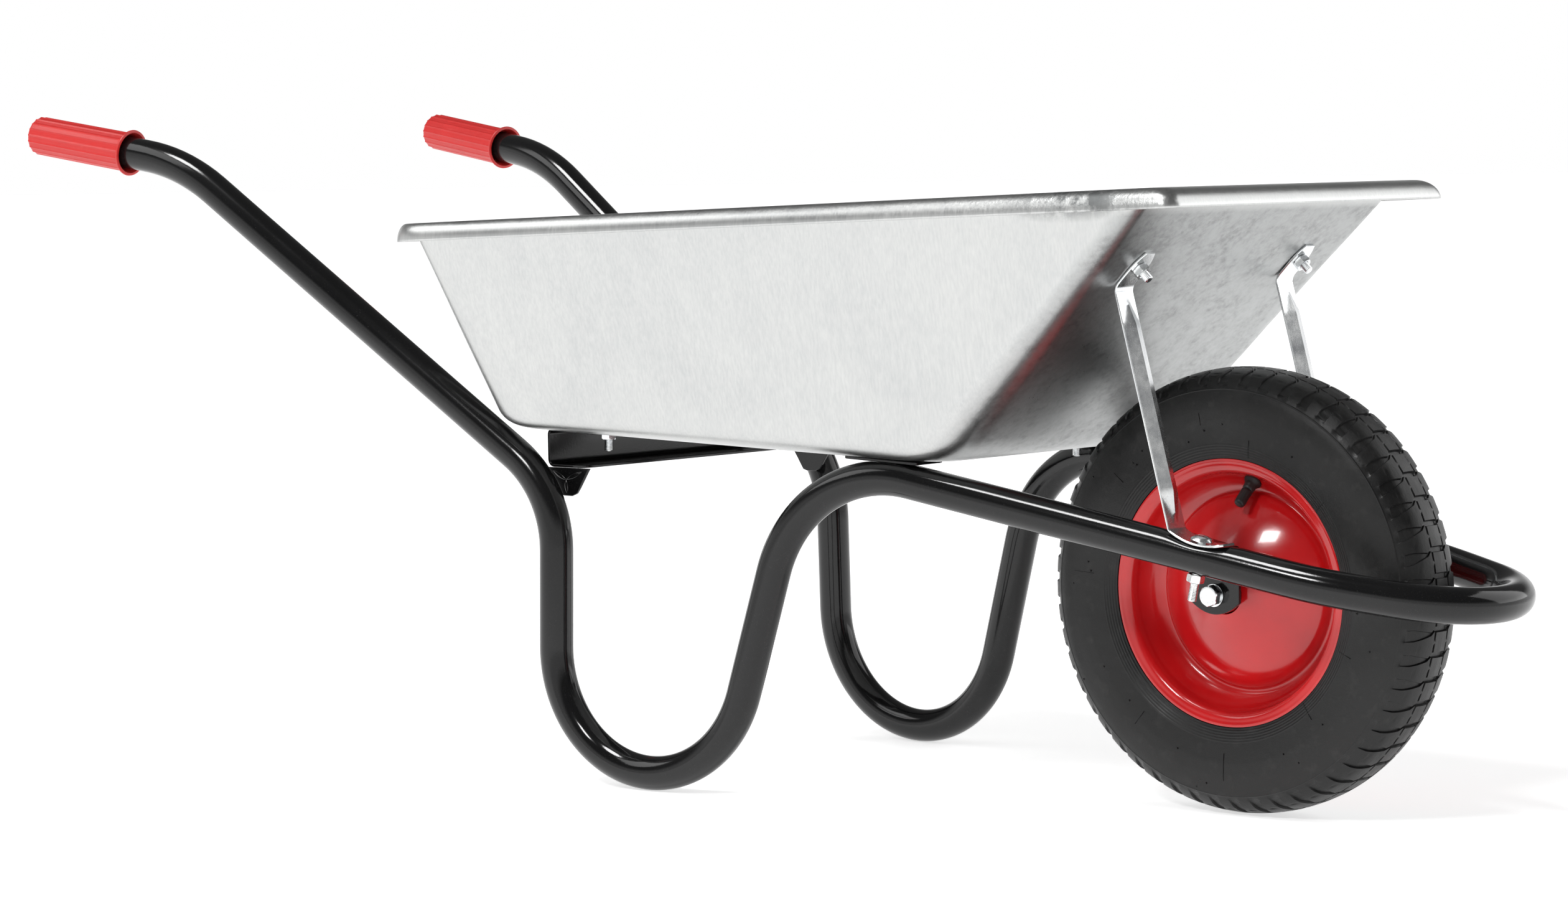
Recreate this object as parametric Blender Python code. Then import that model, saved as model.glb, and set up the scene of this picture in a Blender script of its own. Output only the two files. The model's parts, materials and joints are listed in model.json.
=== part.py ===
"""Builder's wheelbarrow: a bent tube frame, a pressed steel tray and one pneumatic wheel.

Metres. +X runs forward to the wheel, +Y to the left side, +Z up. The origin is on the ground,
in the middle of the whole barrow. Stations below are measured forward of the axle, and AXLE_X
moves them to the origin. Each separate piece is one closed object.
"""

import math

import bmesh
import bpy
from mathutils import Matrix, Vector

# Overall placing
AXLE_X = 0.49075
GAP = 0.0003
SIDES = (("left", 1), ("right", -1))

# Frame tube: one length of tube, bent alike on both sides. Corners are (station, half width, height)
TUBE_R = 0.0155
TUBE_WALL = 0.0016
TUBE_SIDES = 12
BEND_STEP = math.radians(15)
LEG_X = -0.628
FOOT_CORNER_HALF = 0.222
FRONT_LEG_LEAN = math.radians(16.4)
HANDLE_END = Vector((-1.2375, 0.2776, 0.5995))
HANDLE_BEND = Vector((-1.058, 0.2550, 0.5711))
LEG_TOP_BEND = Vector((LEG_X, 0.1985, 0.268))
CREST_BEND = Vector((-0.352, 0.1772, 0.3089))
LOOP_FLARE = Vector((0.140, 0.1060, 0.2111))
LOOP_NOSE = Vector((0.2484, 0.0622, 0.1940))
HANDLE_BEND_R, LEG_TOP_BEND_R, CREST_BEND_R = 0.20, 0.107, 0.121
LOOP_FLARE_R, LOOP_NOSE_R = 0.25, 0.0915

# Grips: fluted cups pushed over the tube's ends
GRIP_LENGTH = 0.122
GRIP_R = 0.0190
GRIP_FLUTE = 0.0008
GRIP_SIDES = 24
GRIP_FLANGE_R = 0.0224
GRIP_FLANGE_T = 0.003
GRIP_END_WALL = 0.004
GRIP_MOUTH_DEPTH = 0.008

# Tray, measured along its outside: front and rear (station, half width, height)
TRAY_T = 0.0012
RIM_FRONT = Vector((0.036, 0.1920, 0.540))
RIM_REAR = Vector((-0.724, 0.2985, 0.512))
FLOOR_FRONT = Vector((-0.198, 0.1820, 0.3035))
FLOOR_REAR = Vector((-0.690, 0.2290, 0.3258))
RIM_CORNER_R, LIP_CORNER_R = (0.014, 0.022), (0.014, 0.044)
FLOOR_CORNER_R = (0.050, 0.045)
FLOOR_BEND = 0.022
PANEL_LENGTH = 0.25
LIP_WIDTHS = (0.031, 0.0175, 0.0165)
LIP_DROP = 0.0155
CORNER_STEPS = 5

# Wheel, about its own axis
WHEEL_R = 0.1925
WHEEL_STEPS = 32
TYRE_HALF = 0.041
TYRE_T = 0.006
INNER_TUBE_STEPS = 11
INNER_TUBE_T = 0.0018
RIM_EDGE_R = 0.1152
RIM_HALF = 0.0340
RIM_T = 0.0020
HUB_R = 0.0165
HUB_BORE_R = 0.0135
HUB_HALF = 0.0470
BUSH_FLANGE_T = 0.0030
BUSH_BORE_R = 0.0104
BUSH_DEPTH = 0.012
HUB_STEPS = 24
SLEEVE_R = 0.0100
SLEEVE_BORE_R = 0.0055
VALVE_ANGLE = math.radians(6.0)
VALVE_SEAT = Vector((0.0968, 0, 0.0085))
VALVE_WAY = Vector((-0.70, 0, 0.71)).normalized()
VALVE_HOLE_R = 0.0058

# Axle bolt and its brackets
AXLE_BOLT_R = 0.0050
AXLE_BOLT_FLATS = 0.0170
AXLE_HEAD_H = 0.0064
AXLE_NUT_H = 0.0085
BRACKET_FACE = 0.0512
BRACKET_T = 0.0040
BRACKET_HALF = 0.0248
BRACKET_DROP = 0.0165
WASHER_R = 0.0098
WASHER_T = 0.0030

# Rear cross member under the tray, and the gussets below its ends
CROSS_REAR, CROSS_FRONT = -0.656, -0.586
CROSS_DEPTH = 0.033
CROSS_FOOT = 0.045
CROSS_T = 0.0025
CROSS_BEND = 0.006
CROSS_HALF = 0.1780
GUSSET_T = 0.003

# Lugs that carry the tray on the crests of the frame
LUG_X, LUG_HALF_LENGTH = -0.272, 0.040
LUG_INNER, LUG_OUTER = 0.125, 0.1700
LUG_T = 0.0025
LUG_CORNER = 0.008

# Fasteners, and where those of the tray's floor stand: (station, half width)
REAR_BOLT_AT, FRONT_BOLT_AT = (-0.606, 0.150), (-0.287, 0.142)
TRAY_BOLT_LENGTHS = {"brace_top": 0.018, "tray_rear": 0.022, "tray_front": 0.020}
FOOT_BOLT_LENGTH = 0.052
BOLT_R = 0.0040
HOLE_R = 0.0045
NUT_FLATS = 0.0130
NUT_H = 0.0065
HEAD_R = 0.0100
HEAD_H = 0.0045
ROUND_STEPS = 12
DRILL_LENGTH = 0.012

# Braces between the frame and the tray's front panel
BRACE_WIDTH = 0.025
BRACE_T = 0.0020
BRACE_TOP_HALF = 0.1215
BRACE_BOLT_HEIGHT = 0.474
BRACE_TIP = 0.017
BRACE_LAND = 0.024
FOOT_X = 0.031
FOOT_HALF_LENGTH = 0.027
FOOT_SAG = 0.0055


def material(name, colour, roughness, metallic):
    made = bpy.data.materials.new(name)
    made.use_nodes = True
    shader = made.node_tree.nodes["Principled BSDF"]
    shader.inputs["Base Color"].default_value = (*colour, 1.0)
    shader.inputs["Roughness"].default_value = roughness
    shader.inputs["Metallic"].default_value = metallic
    return made


def lofted(rings, loop=False):
    """A closed shape through rings of equal length: capped at both ends, or joined end to end."""
    shape = bmesh.new()
    rows = [[shape.verts.new(point) for point in ring] for ring in rings]
    count = len(rows[0])
    pairs = list(zip(rows, rows[1:])) + ([(rows[-1], rows[0])] if loop else [])
    for low, high in pairs:
        for k in range(count):
            shape.faces.new((low[k], low[(k + 1) % count], high[(k + 1) % count], high[k]))
    if not loop:
        shape.faces.new(rows[0])
        shape.faces.new(rows[-1])
    bmesh.ops.recalc_face_normals(shape, faces=shape.faces)
    return shape


def piece(name, shape, finish, parent=None, sharp=32):
    """The object made from a bmesh shape, its coordinates relative to its parent."""
    mesh = bpy.data.meshes.new(name)
    shape.to_mesh(mesh)
    shape.free()
    mesh.shade_smooth()
    mesh.set_sharp_from_angle(angle=math.radians(sharp))
    mesh.materials.append(finish)
    made = bpy.data.objects.new(name, mesh)
    bpy.context.scene.collection.objects.link(made)
    made.parent = parent
    return made


def circle(radius, count, height=0.0, flats=0):
    """A ring about +Z. With flats, radius is half the width across them, as on a hexagon."""
    points = []
    for k in range(count):
        angle = 2 * math.pi * k / count
        reach = radius
        if flats:
            turn = 2 * math.pi / flats
            reach = radius / math.cos((angle + turn / 2) % turn - turn / 2)
        points.append(Vector((reach * math.cos(angle), reach * math.sin(angle), height)))
    return points


def outer(radius, count):
    """The radius whose polygon has its flats, not its corners, on the given radius."""
    return radius / math.cos(math.pi / count)


def placed(rings, where):
    return [[where @ point for point in ring] for ring in rings]


def along(origin, direction):
    """The placing that turns +Z to the direction, at the origin."""
    return Matrix.Translation(origin) @ direction.to_track_quat("Z", "Y").to_matrix().to_4x4()


def cut(target, name, shape):
    """Cuts a shape out of the target."""
    cutter = piece(name, shape, target.data.materials[0])
    cutter.hide_render = True
    cutter.display_type = "WIRE"
    difference = target.modifiers.new(name, "BOOLEAN")
    difference.operation = "DIFFERENCE"
    difference.object = cutter


def drill(target, name, centre, direction, radius, length):
    ring = circle(outer(radius, ROUND_STEPS), ROUND_STEPS)
    ends = [[point + Vector((0, 0, end)) for point in ring] for end in (-length / 2, length / 2)]
    cut(target, name, lofted(placed(ends, along(centre, direction))))


def station(x, y, z):
    return Vector((x + AXLE_X, y, z))


def on_side(point, side):
    return station(point.x, point.y * side, point.z)


# ---- frame tube ----


def bend(before, corner, after, radius, step=BEND_STEP):
    """Points of the arc that rounds a corner between two straight runs."""
    into, out = (corner - before).normalized(), (after - corner).normalized()
    turn = into.angle(out)
    centre_way = (out - into).normalized()
    centre = corner + centre_way * radius / math.cos(turn / 2)
    count = max(2, math.ceil(turn / step))
    axis = into.cross(out).normalized()
    start = corner - into * radius * math.tan(turn / 2) - centre
    return [centre + Matrix.Rotation(turn * k / count, 3, axis) @ start for k in range(count + 1)]


def foot_corner():
    """Where the two legs' centrelines would meet, far below the rounded foot between them."""
    depth = (CREST_BEND.x - LEG_X) / math.tan(FRONT_LEG_LEAN)
    return Vector((LEG_X, FOOT_CORNER_HALF, CREST_BEND.z - depth))


def foot_bend_radius():
    """The radius that sets the underside of the rounded foot on the ground."""
    corner = foot_corner()
    into, out = (corner - LEG_TOP_BEND).normalized(), (CREST_BEND - corner).normalized()
    rise = (out - into).normalized().z / math.cos(into.angle(out) / 2)
    dip = math.sqrt(1 - into.cross(out).normalized().z ** 2)
    return (TUBE_R - corner.z) / (rise - dip)


def run_direction():
    """Along the straight run from the crest to the front loop."""
    return (LOOP_FLARE - CREST_BEND).normalized()


def run_point(x):
    """The tube's centre at a station of that run."""
    run = LOOP_FLARE - CREST_BEND
    return CREST_BEND + run * (x - CREST_BEND.x) / run.x


def run_up():
    """Square to the run, upwards."""
    forward = run_direction()
    across = Vector((0, 0, 1)).cross(forward).normalized()
    return forward.cross(across)


def side_path():
    """The left side's centreline, from the grip to the middle of the front loop."""
    corners = [
        (HANDLE_BEND, HANDLE_BEND_R),
        (LEG_TOP_BEND, LEG_TOP_BEND_R),
        (foot_corner(), foot_bend_radius()),
        (CREST_BEND, CREST_BEND_R),
        (LOOP_FLARE, LOOP_FLARE_R),
        (LOOP_NOSE, LOOP_NOSE_R),
    ]
    mirrored_nose = Vector((LOOP_NOSE.x, -LOOP_NOSE.y, LOOP_NOSE.z))
    knots = [HANDLE_END] + [corner for corner, _ in corners] + [mirrored_nose]
    points = [HANDLE_END]
    for k, (corner, radius) in enumerate(corners):
        if corner is LOOP_FLARE:
            centre = run_point(FOOT_X)
            reach = FOOT_HALF_LENGTH + 0.004
            points += [centre + run_direction() * reach * k / 4 for k in range(-4, 5)]
        points += bend(knots[k], corner, knots[k + 2], radius)
    return points


def foot_rise(reach):
    """Height of a brace foot's underside above its low point, at a distance along the tube."""
    return FOOT_SAG * (reach / FOOT_HALF_LENGTH) ** 2


def pressed(point, depth, side):
    """Moves a point of the tube's skin down where a brace foot or the tray has pressed it in."""
    local = Vector((point.x, point.y * side, point.z))
    from_foot = local - run_point(FOOT_X)
    height = from_foot.dot(run_up())
    reach = (from_foot - run_up() * height).x / run_direction().x
    if abs(reach) < FOOT_HALF_LENGTH * 1.2:
        limit = TUBE_R - FOOT_SAG + foot_rise(reach) - 2 * GAP - depth
        if height > limit:
            local = local + run_up() * (limit - height)
    seat = floor_height(local.x) - LUG_T - 2 * GAP - depth
    if CREST_BEND.x < local.x < FLOOR_FRONT.x and local.z > seat:
        local.z = seat
    return Vector((local.x, local.y * side, local.z))


def frame_tube(finish):
    left = side_path()
    path = left + [Vector((p.x, -p.y, p.z)) for p in reversed(left)]
    rings = {0: [], TUBE_WALL: []}
    previous = None
    for k, centre in enumerate(path):
        ahead, behind = path[min(k + 1, len(path) - 1)], path[max(k - 1, 0)]
        tangent = (ahead - behind).normalized()
        if previous is None:
            normal = tangent.orthogonal().normalized()
        else:
            turn = previous.rotation_difference(tangent)
            normal = turn @ normal
        previous = tangent
        binormal = tangent.cross(normal)
        side = 1 if k < len(left) else -1
        for depth, ring in rings.items():
            points = []
            for j in range(TUBE_SIDES):
                angle = 2 * math.pi * j / TUBE_SIDES
                spoke = normal * math.cos(angle) + binormal * math.sin(angle)
                skin = pressed(centre + spoke * (TUBE_R - depth), depth, side)
                points.append(station(*skin))
            ring.append(points)
    tube = piece("frame_tube", lofted(rings[0] + rings[TUBE_WALL][::-1], loop=True), finish)
    for name, side in SIDES:
        centre = on_side(run_point(FOOT_X), side)
        drill(tube, name + "_foot_hole", centre, on_side_way(run_up(), side), HOLE_R, 4 * DRILL_LENGTH)


def on_side_way(way, side):
    return Vector((way.x, way.y * side, way.z))


# ---- grips ----


def grips(finish):
    for name, side in SIDES:
        back = on_side_way((HANDLE_END - HANDLE_BEND).normalized(), side)
        mouth = on_side(HANDLE_END, side) - back * (GRIP_LENGTH - GRIP_END_WALL - GAP)
        bore = TUBE_R + GAP
        outline = [
            (bore + 0.0035, 0.0),
            (GRIP_FLANGE_R - 0.001, 0.0),
            (GRIP_FLANGE_R, GRIP_FLANGE_T / 2),
            (GRIP_FLANGE_R - 0.001, GRIP_FLANGE_T),
            (GRIP_R, GRIP_FLANGE_T + 0.001),
            (GRIP_R - 0.0004, GRIP_LENGTH - 0.004),
            (GRIP_R - 0.0030, GRIP_LENGTH),
        ]
        bore_line = [(bore, GRIP_LENGTH - GRIP_END_WALL), (bore, GRIP_MOUTH_DEPTH)]
        rings = []
        for radius, height in bore_line + outline:
            ring = circle(radius, GRIP_SIDES, height)
            if GRIP_FLANGE_T < height < GRIP_LENGTH and radius > bore:
                for k, point in enumerate(ring):
                    scale = 1 - (k % 2) * GRIP_FLUTE / radius
                    point.x *= scale
                    point.y *= scale
            rings.append(ring)
        piece(name + "_grip", lofted(placed(rings, along(mouth, back))), finish)


# ---- tray ----


def floor_height(x):
    """Height of the tray's underside, which falls a little towards the front."""
    span = FLOOR_FRONT - FLOOR_REAR
    return FLOOR_REAR.z + span.z * (x - FLOOR_REAR.x) / span.x


def plan_ring(front, rear, radii):
    """A four-sided outline with rounded corners, level across and sloping from front to rear."""
    corners = [
        Vector((front.x, front.y, 0)),
        Vector((rear.x, rear.y, 0)),
        Vector((rear.x, -rear.y, 0)),
        Vector((front.x, -front.y, 0)),
    ]
    points = []
    for k, corner in enumerate(corners):
        radius = radii[0] if k in (0, 3) else radii[1]
        into = (corner - corners[k - 1]).normalized()
        out = (corners[(k + 1) % 4] - corner).normalized()
        turn = into.angle(out)
        points += bend(corners[k - 1], corner, corners[(k + 1) % 4], radius, turn / CORNER_STEPS * 1.001)
    slope = (front.z - rear.z) / (front.x - rear.x)
    return [station(p.x, p.y, rear.z + slope * (p.x - rear.x)) for p in points]


def mixed(first, second, share):
    return [a.lerp(b, share) for a, b in zip(first, second)]


def curved(first, corner, last, steps):
    """Rings of the curve from the first ring to the last that the corner ring pulls on."""
    shares = [k / steps for k in range(steps + 1)]
    return [mixed(mixed(first, corner, s), mixed(corner, last, s), s) for s in shares]


def lip_ring(share_out, drop):
    """The rim's outline moved outwards by a share of the lip's width, and down by the drop."""
    ahead, beside, behind = (share_out * width for width in LIP_WIDTHS)
    front = RIM_FRONT + Vector((ahead, beside, -drop))
    rear = RIM_REAR + Vector((-behind, beside, -drop))
    radii = [a + (b - a) * share_out for a, b in zip(RIM_CORNER_R, LIP_CORNER_R)]
    return plan_ring(front, rear, radii)


def tray(finish):
    inset = Vector((FLOOR_BEND, FLOOR_BEND, 0))
    floor_radii = [radius - FLOOR_BEND / 2 for radius in FLOOR_CORNER_R]
    floor = plan_ring(
        FLOOR_FRONT - inset + Vector((0, 0, floor_height(FLOOR_FRONT.x - FLOOR_BEND) - FLOOR_FRONT.z)),
        FLOOR_REAR + Vector((FLOOR_BEND, -FLOOR_BEND, floor_height(FLOOR_REAR.x + FLOOR_BEND) - FLOOR_REAR.z)),
        floor_radii,
    )
    edge = plan_ring(FLOOR_FRONT, FLOOR_REAR, FLOOR_CORNER_R)
    rim = lip_ring(0, 0)
    wall = mixed(edge, rim, FLOOR_BEND / PANEL_LENGTH)
    rings = curved(floor, edge, wall, 4)
    rings.append(mixed(edge, rim, 0.97))
    rings.append(lip_ring(0.10, 0.0012))
    rings.append(lip_ring(0.36, 0.0))
    for k in range(1, 5):
        angle = math.pi / 2 * k / 4
        rings.append(lip_ring(0.36 + 0.64 * math.sin(angle), LIP_DROP * (1 - math.cos(angle))))
    shape = bmesh.new()
    rows = [[shape.verts.new(point) for point in ring] for ring in rings]
    for low, high in zip(rows, rows[1:]):
        for k in range(len(low)):
            shape.faces.new((low[k - 1], low[k], high[k], high[k - 1]))
    shape.faces.new(rows[0])
    bmesh.ops.recalc_face_normals(shape, faces=shape.faces)
    made = piece("tray", shape, finish)
    skin = made.modifiers.new("thickness", "SOLIDIFY")
    skin.thickness = TRAY_T
    skin.offset = -1 if skin_points_out(made) else 1
    for name, at, way in tray_bolts():
        drill(made, name + "_tray_hole", at, way, HOLE_R, DRILL_LENGTH)


def skin_points_out(made):
    """Whether the open tray's faces point away from its inside."""
    floor = min(made.data.polygons, key=lambda face: face.center.z)
    return floor.normal.z < 0


def panel_way():
    """Up the front panel, from its foot to the rim."""
    return Vector((RIM_FRONT.x - FLOOR_FRONT.x, 0, RIM_FRONT.z - FLOOR_FRONT.z)).normalized()


def panel_out():
    """Square to the front panel, outwards."""
    up = panel_way()
    return Vector((up.z, 0, -up.x))


def panel_point(height):
    """A point of the front panel's outside at a height, in the middle of the barrow."""
    up = panel_way()
    return Vector((FLOOR_FRONT.x, 0, FLOOR_FRONT.z)) + up * (height - FLOOR_FRONT.z) / up.z


def floor_out():
    slope = (FLOOR_FRONT.z - FLOOR_REAR.z) / (FLOOR_FRONT.x - FLOOR_REAR.x)
    return Vector((slope, 0, -1)).normalized()


def tray_bolts():
    """(name, point on the tray's outside, outward direction) of each bolt through the tray."""
    found = []
    for name, side in SIDES:
        top = panel_point(BRACE_BOLT_HEIGHT)
        found.append((name + "_brace_top", station(top.x, side * BRACE_TOP_HALF, top.z), panel_out()))
        for where, (x, half) in (("rear", REAR_BOLT_AT), ("front", FRONT_BOLT_AT)):
            spot = station(x, side * half, floor_height(x))
            found.append((name + "_tray_" + where, spot, floor_out()))
    return found


# ---- fasteners ----


def bolt(name, under_head, way, length, finish):
    """A mushroom-headed bolt. Its shank runs along the way from the face under its head."""
    outline = [(0.30, 0.98), (0.62, 0.80), (0.88, 0.42), (1.0, 0.0)]
    rings = [circle(HEAD_R * wide, ROUND_STEPS, -HEAD_H * high) for wide, high in outline]
    rings += [circle(BOLT_R, ROUND_STEPS, 0), circle(BOLT_R, ROUND_STEPS, length)]
    piece(name, lofted(placed(rings, along(under_head, way))), finish)


def nut(name, seat, way, finish, flats=NUT_FLATS, height=NUT_H, bore=BOLT_R):
    """A hexagon nut standing on its seat, the way it would be wound off."""
    hole = outer(bore, ROUND_STEPS) + GAP
    rings = [
        circle(flats / 2, ROUND_STEPS, 0, flats=6),
        circle(flats / 2, ROUND_STEPS, height, flats=6),
        circle(hole, ROUND_STEPS, height),
        circle(hole, ROUND_STEPS, 0),
    ]
    piece(name, lofted(placed(rings, along(seat, way)), loop=True), finish)


def tray_fasteners(finish):
    for name, at, way in tray_bolts():
        head = at - way * (TRAY_T + GAP)
        where = name.split("_", 1)[1]
        clamped = {"brace_top": BRACE_T, "tray_rear": CROSS_T, "tray_front": LUG_T}[where]
        bolt(name + "_bolt", head, way, TRAY_BOLT_LENGTHS[where], finish)
        nut(name + "_nut", at + way * (clamped + 2 * GAP), way, finish)


# ---- braces ----


def brace_line():
    """The strap's middle line, from its tip on the front panel to the tip of its foot."""
    land = panel_point(BRACE_BOLT_HEIGHT) + panel_out() * (BRACE_T / 2 + GAP)
    tip = land + panel_way() * BRACE_TIP
    knee = land - panel_way() * BRACE_LAND
    forward, up = run_direction(), run_up()
    base = run_point(FOOT_X) + up * (TUBE_R - FOOT_SAG + BRACE_T / 2)
    foot = []
    for k in range(-6, 7):
        reach = FOOT_HALF_LENGTH * k / 6
        foot.append(base + forward * reach + up * foot_rise(reach))
    heel = foot[0]
    line = [tip] + bend(tip, knee, heel, 0.010, math.radians(30))
    line += bend(knee, heel, foot[1], 0.0035, math.radians(30))
    return line + foot[2:]


def braces(finish):
    line = brace_line()
    low = run_point(FOOT_X)
    rise = line[0].z - low.z
    for name, side in SIDES:
        rings = []
        for k, point in enumerate(line):
            before, after = line[max(k - 1, 0)], line[min(k + 1, len(line) - 1)]
            way = Vector((after.x - before.x, 0, after.z - before.z)).normalized()
            square = Vector((way.z, 0, -way.x)) * BRACE_T / 2
            half = low.y + (BRACE_TOP_HALF - low.y) * (point.z - low.z) / rise
            middle = station(point.x, side * half, point.z)
            across = Vector((0, BRACE_WIDTH / 2, 0))
            rings.append([middle + square + across, middle + square - across])
            rings[-1] += [middle - square - across, middle - square + across]
        made = piece(name + "_brace", lofted(rings), finish)
        top = panel_point(BRACE_BOLT_HEIGHT)
        spot = station(top.x, side * BRACE_TOP_HALF, top.z)
        drill(made, name + "_brace_top_hole", spot, panel_out(), HOLE_R, DRILL_LENGTH)
        way = on_side_way(run_up(), side)
        foot = on_side(low, side) + way * (TUBE_R - FOOT_SAG)
        drill(made, name + "_brace_foot_hole", foot, way, HOLE_R, DRILL_LENGTH)
        head = foot + way * (BRACE_T + foot_rise(HEAD_R) + 2 * GAP)
        bolt(name + "_brace_foot_bolt", head, -way, FOOT_BOLT_LENGTH, finish)
        nut(name + "_brace_foot_nut", on_side(low, side) - way * (TUBE_R + GAP), -way, finish)


# ---- cross member, gussets and lugs ----


def sheet_outline(points, thickness):
    """The closed outline of a bent sheet whose middle line is given in the XZ plane."""
    left, right = [], []
    for k, point in enumerate(points):
        ways = []
        if k > 0:
            ways.append((point - points[k - 1]).normalized())
        if k < len(points) - 1:
            ways.append((points[k + 1] - point).normalized())
        way = sum(ways, Vector((0, 0, 0))).normalized()
        square = Vector((-way.z, 0, way.x)) * thickness / 2 / ways[0].dot(way)
        left.append(point + square)
        right.append(point - square)
    return left + right[::-1]


def cross_member(finish):
    half = CROSS_T / 2
    rear, front = CROSS_REAR, CROSS_FRONT
    bottom = floor_height(front) - CROSS_DEPTH
    line = [
        Vector((front, 0, floor_height(front) - GAP - half)),
        Vector((rear + CROSS_BEND, 0, floor_height(rear + CROSS_BEND) - GAP - half)),
        Vector((rear, 0, floor_height(rear) - GAP - half - CROSS_BEND)),
        Vector((rear, 0, bottom + CROSS_BEND)),
        Vector((rear + CROSS_BEND, 0, bottom)),
        Vector((rear + CROSS_FOOT, 0, bottom)),
    ]
    outline = sheet_outline(line, CROSS_T)
    ends = [[station(p.x, y, p.z) for p in outline] for y in (-CROSS_HALF, CROSS_HALF)]
    made = piece("rear_cross_member", lofted(ends), finish)
    for name, at, way in tray_bolts():
        if name.endswith("rear"):
            drill(made, name + "_flange_hole", at, way, HOLE_R, DRILL_LENGTH)
    top = bottom - half - GAP
    for name, side in SIDES:
        outline = [
            (rear - 0.004, top),
            (rear + CROSS_FOOT + 0.004, top),
            (rear + CROSS_FOOT - 0.010, top - 0.022),
            (rear + CROSS_FOOT - 0.016, top - 0.026),
            (rear + CROSS_FOOT - 0.030, top - 0.026),
            (rear + 0.004, top - 0.012),
        ]
        faces = (CROSS_HALF - 0.001 - GUSSET_T, CROSS_HALF - 0.001)
        rings = [[station(x, side * y, z) for x, z in outline] for y in faces]
        piece(name + "_gusset", lofted(rings), finish)


def lugs(finish):
    for name, side in SIDES:
        left_edge, right_edge = LUG_X - LUG_HALF_LENGTH, LUG_X + LUG_HALF_LENGTH
        outline = [
            (left_edge + LUG_CORNER, LUG_INNER),
            (left_edge, LUG_INNER + LUG_CORNER),
            (left_edge, LUG_OUTER),
            (right_edge, LUG_OUTER),
            (right_edge, LUG_INNER + LUG_CORNER),
            (right_edge - LUG_CORNER, LUG_INNER),
        ]
        rings = []
        for drop in (GAP, GAP + LUG_T):
            rings.append([station(x, side * y, floor_height(x) - drop) for x, y in outline])
        made = piece(name + "_tray_lug", lofted(rings), finish)
        for bolt_name, at, way in tray_bolts():
            if bolt_name == name + "_tray_front":
                drill(made, name + "_lug_hole", at, way, HOLE_R, DRILL_LENGTH)


# ---- wheel, in its own axes: radius along X, width along Z, until it is turned onto +Y ----


def turned(name, outline, steps, finish, parent, mirror=1):
    """A ring of the outline's section (radius, distance from the wheel's middle plane)."""
    spin = Matrix.Rotation(-math.pi / 2 * mirror, 4, "X")
    rings = [circle(radius, steps, height) for radius, height in outline]
    return piece(name, lofted(placed(rings, spin), loop=True), finish, parent)


def flat_pairs(points):
    return [(point.x, point.z) for point in points]


def tyre_outline():
    """Half the tyre's section from the middle of its tread, mirrored to the other half."""
    skin = [
        (WHEEL_R, 0.0),
        (WHEEL_R - 0.0012, 0.014),
        (0.1868, 0.0265),
        (0.1750, 0.0370),
        (0.1550, TYRE_HALF),
        (0.1380, 0.0404),
        (0.1185, 0.0360),
        (0.1157, 0.0345),
        (0.1156, 0.0315),
        (0.1085, 0.0313),
        (0.1048, 0.0284),
        (0.1043, 0.0265),
        (0.1043, 0.0210),
        (0.1090, 0.0205),
        (0.1250, 0.0310),
        (0.1550, TYRE_HALF - TYRE_T),
        (0.1760, 0.0270),
        (WHEEL_R - 0.0085, 0.0120),
        (WHEEL_R - 0.0070, 0.0),
    ]
    return skin + [(radius, -half) for radius, half in skin[1:-1]][::-1]


def wheel(finishes):
    axis = bpy.data.objects.new("wheel_axis", None)
    axis.location = (AXLE_X, 0, WHEEL_R)
    bpy.context.scene.collection.objects.link(axis)
    turned("tyre", tyre_outline(), WHEEL_STEPS, finishes["rubber"], axis)

    air = []
    for k in range(INNER_TUBE_STEPS):
        angle = math.radians(12 + 336 * k / (INNER_TUBE_STEPS - 1))
        air.append(Vector((0.1455 - 0.0320 * math.cos(angle), 0, 0.0280 * math.sin(angle))))
    section = flat_pairs(sheet_outline(air, INNER_TUBE_T))
    turned("inner_tube", section, WHEEL_STEPS // 2, finishes["rubber"], axis)

    shell = [
        (RIM_EDGE_R, 0.0330),
        (0.1068, 0.0330),
        (0.1033, 0.0300),
        (0.1024, 0.0200),
        (0.0985, 0.0110),
        (0.0900, RIM_T / 2 + GAP),
        (0.0840, RIM_T / 2 + GAP),
        (0.0700, 0.0125),
        (0.0480, 0.0265),
        (0.0280, 0.0360),
        (HUB_R + 2 * GAP, 0.0400),
    ]
    line = [Vector((radius, 0, half)) for radius, half in shell]
    halves = {}
    for name, side in SIDES:
        outline = flat_pairs(sheet_outline(line, RIM_T))
        halves[name] = turned(name + "_rim_half", outline, WHEEL_STEPS, finishes["red_paint"], axis, side)
        bush = [
            (outer(BUSH_BORE_R, HUB_STEPS), HUB_HALF - BUSH_DEPTH),
            (HUB_BORE_R - GAP, HUB_HALF - BUSH_DEPTH),
            (HUB_BORE_R - GAP, HUB_HALF + GAP),
            (HUB_R, HUB_HALF + GAP),
            (HUB_R, HUB_HALF + GAP + BUSH_FLANGE_T),
            (outer(BUSH_BORE_R, HUB_STEPS), HUB_HALF + GAP + BUSH_FLANGE_T),
        ]
        turned(name + "_hub_bush", bush, HUB_STEPS, finishes["nylon"], axis, side)
    bore = outer(HUB_BORE_R, HUB_STEPS)
    hub = [(HUB_R, -HUB_HALF), (HUB_R, HUB_HALF), (bore, HUB_HALF), (bore, -HUB_HALF)]
    turned("hub_tube", hub, HUB_STEPS, finishes["red_paint"], axis)
    valve(halves["right"], finishes, axis)


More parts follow.
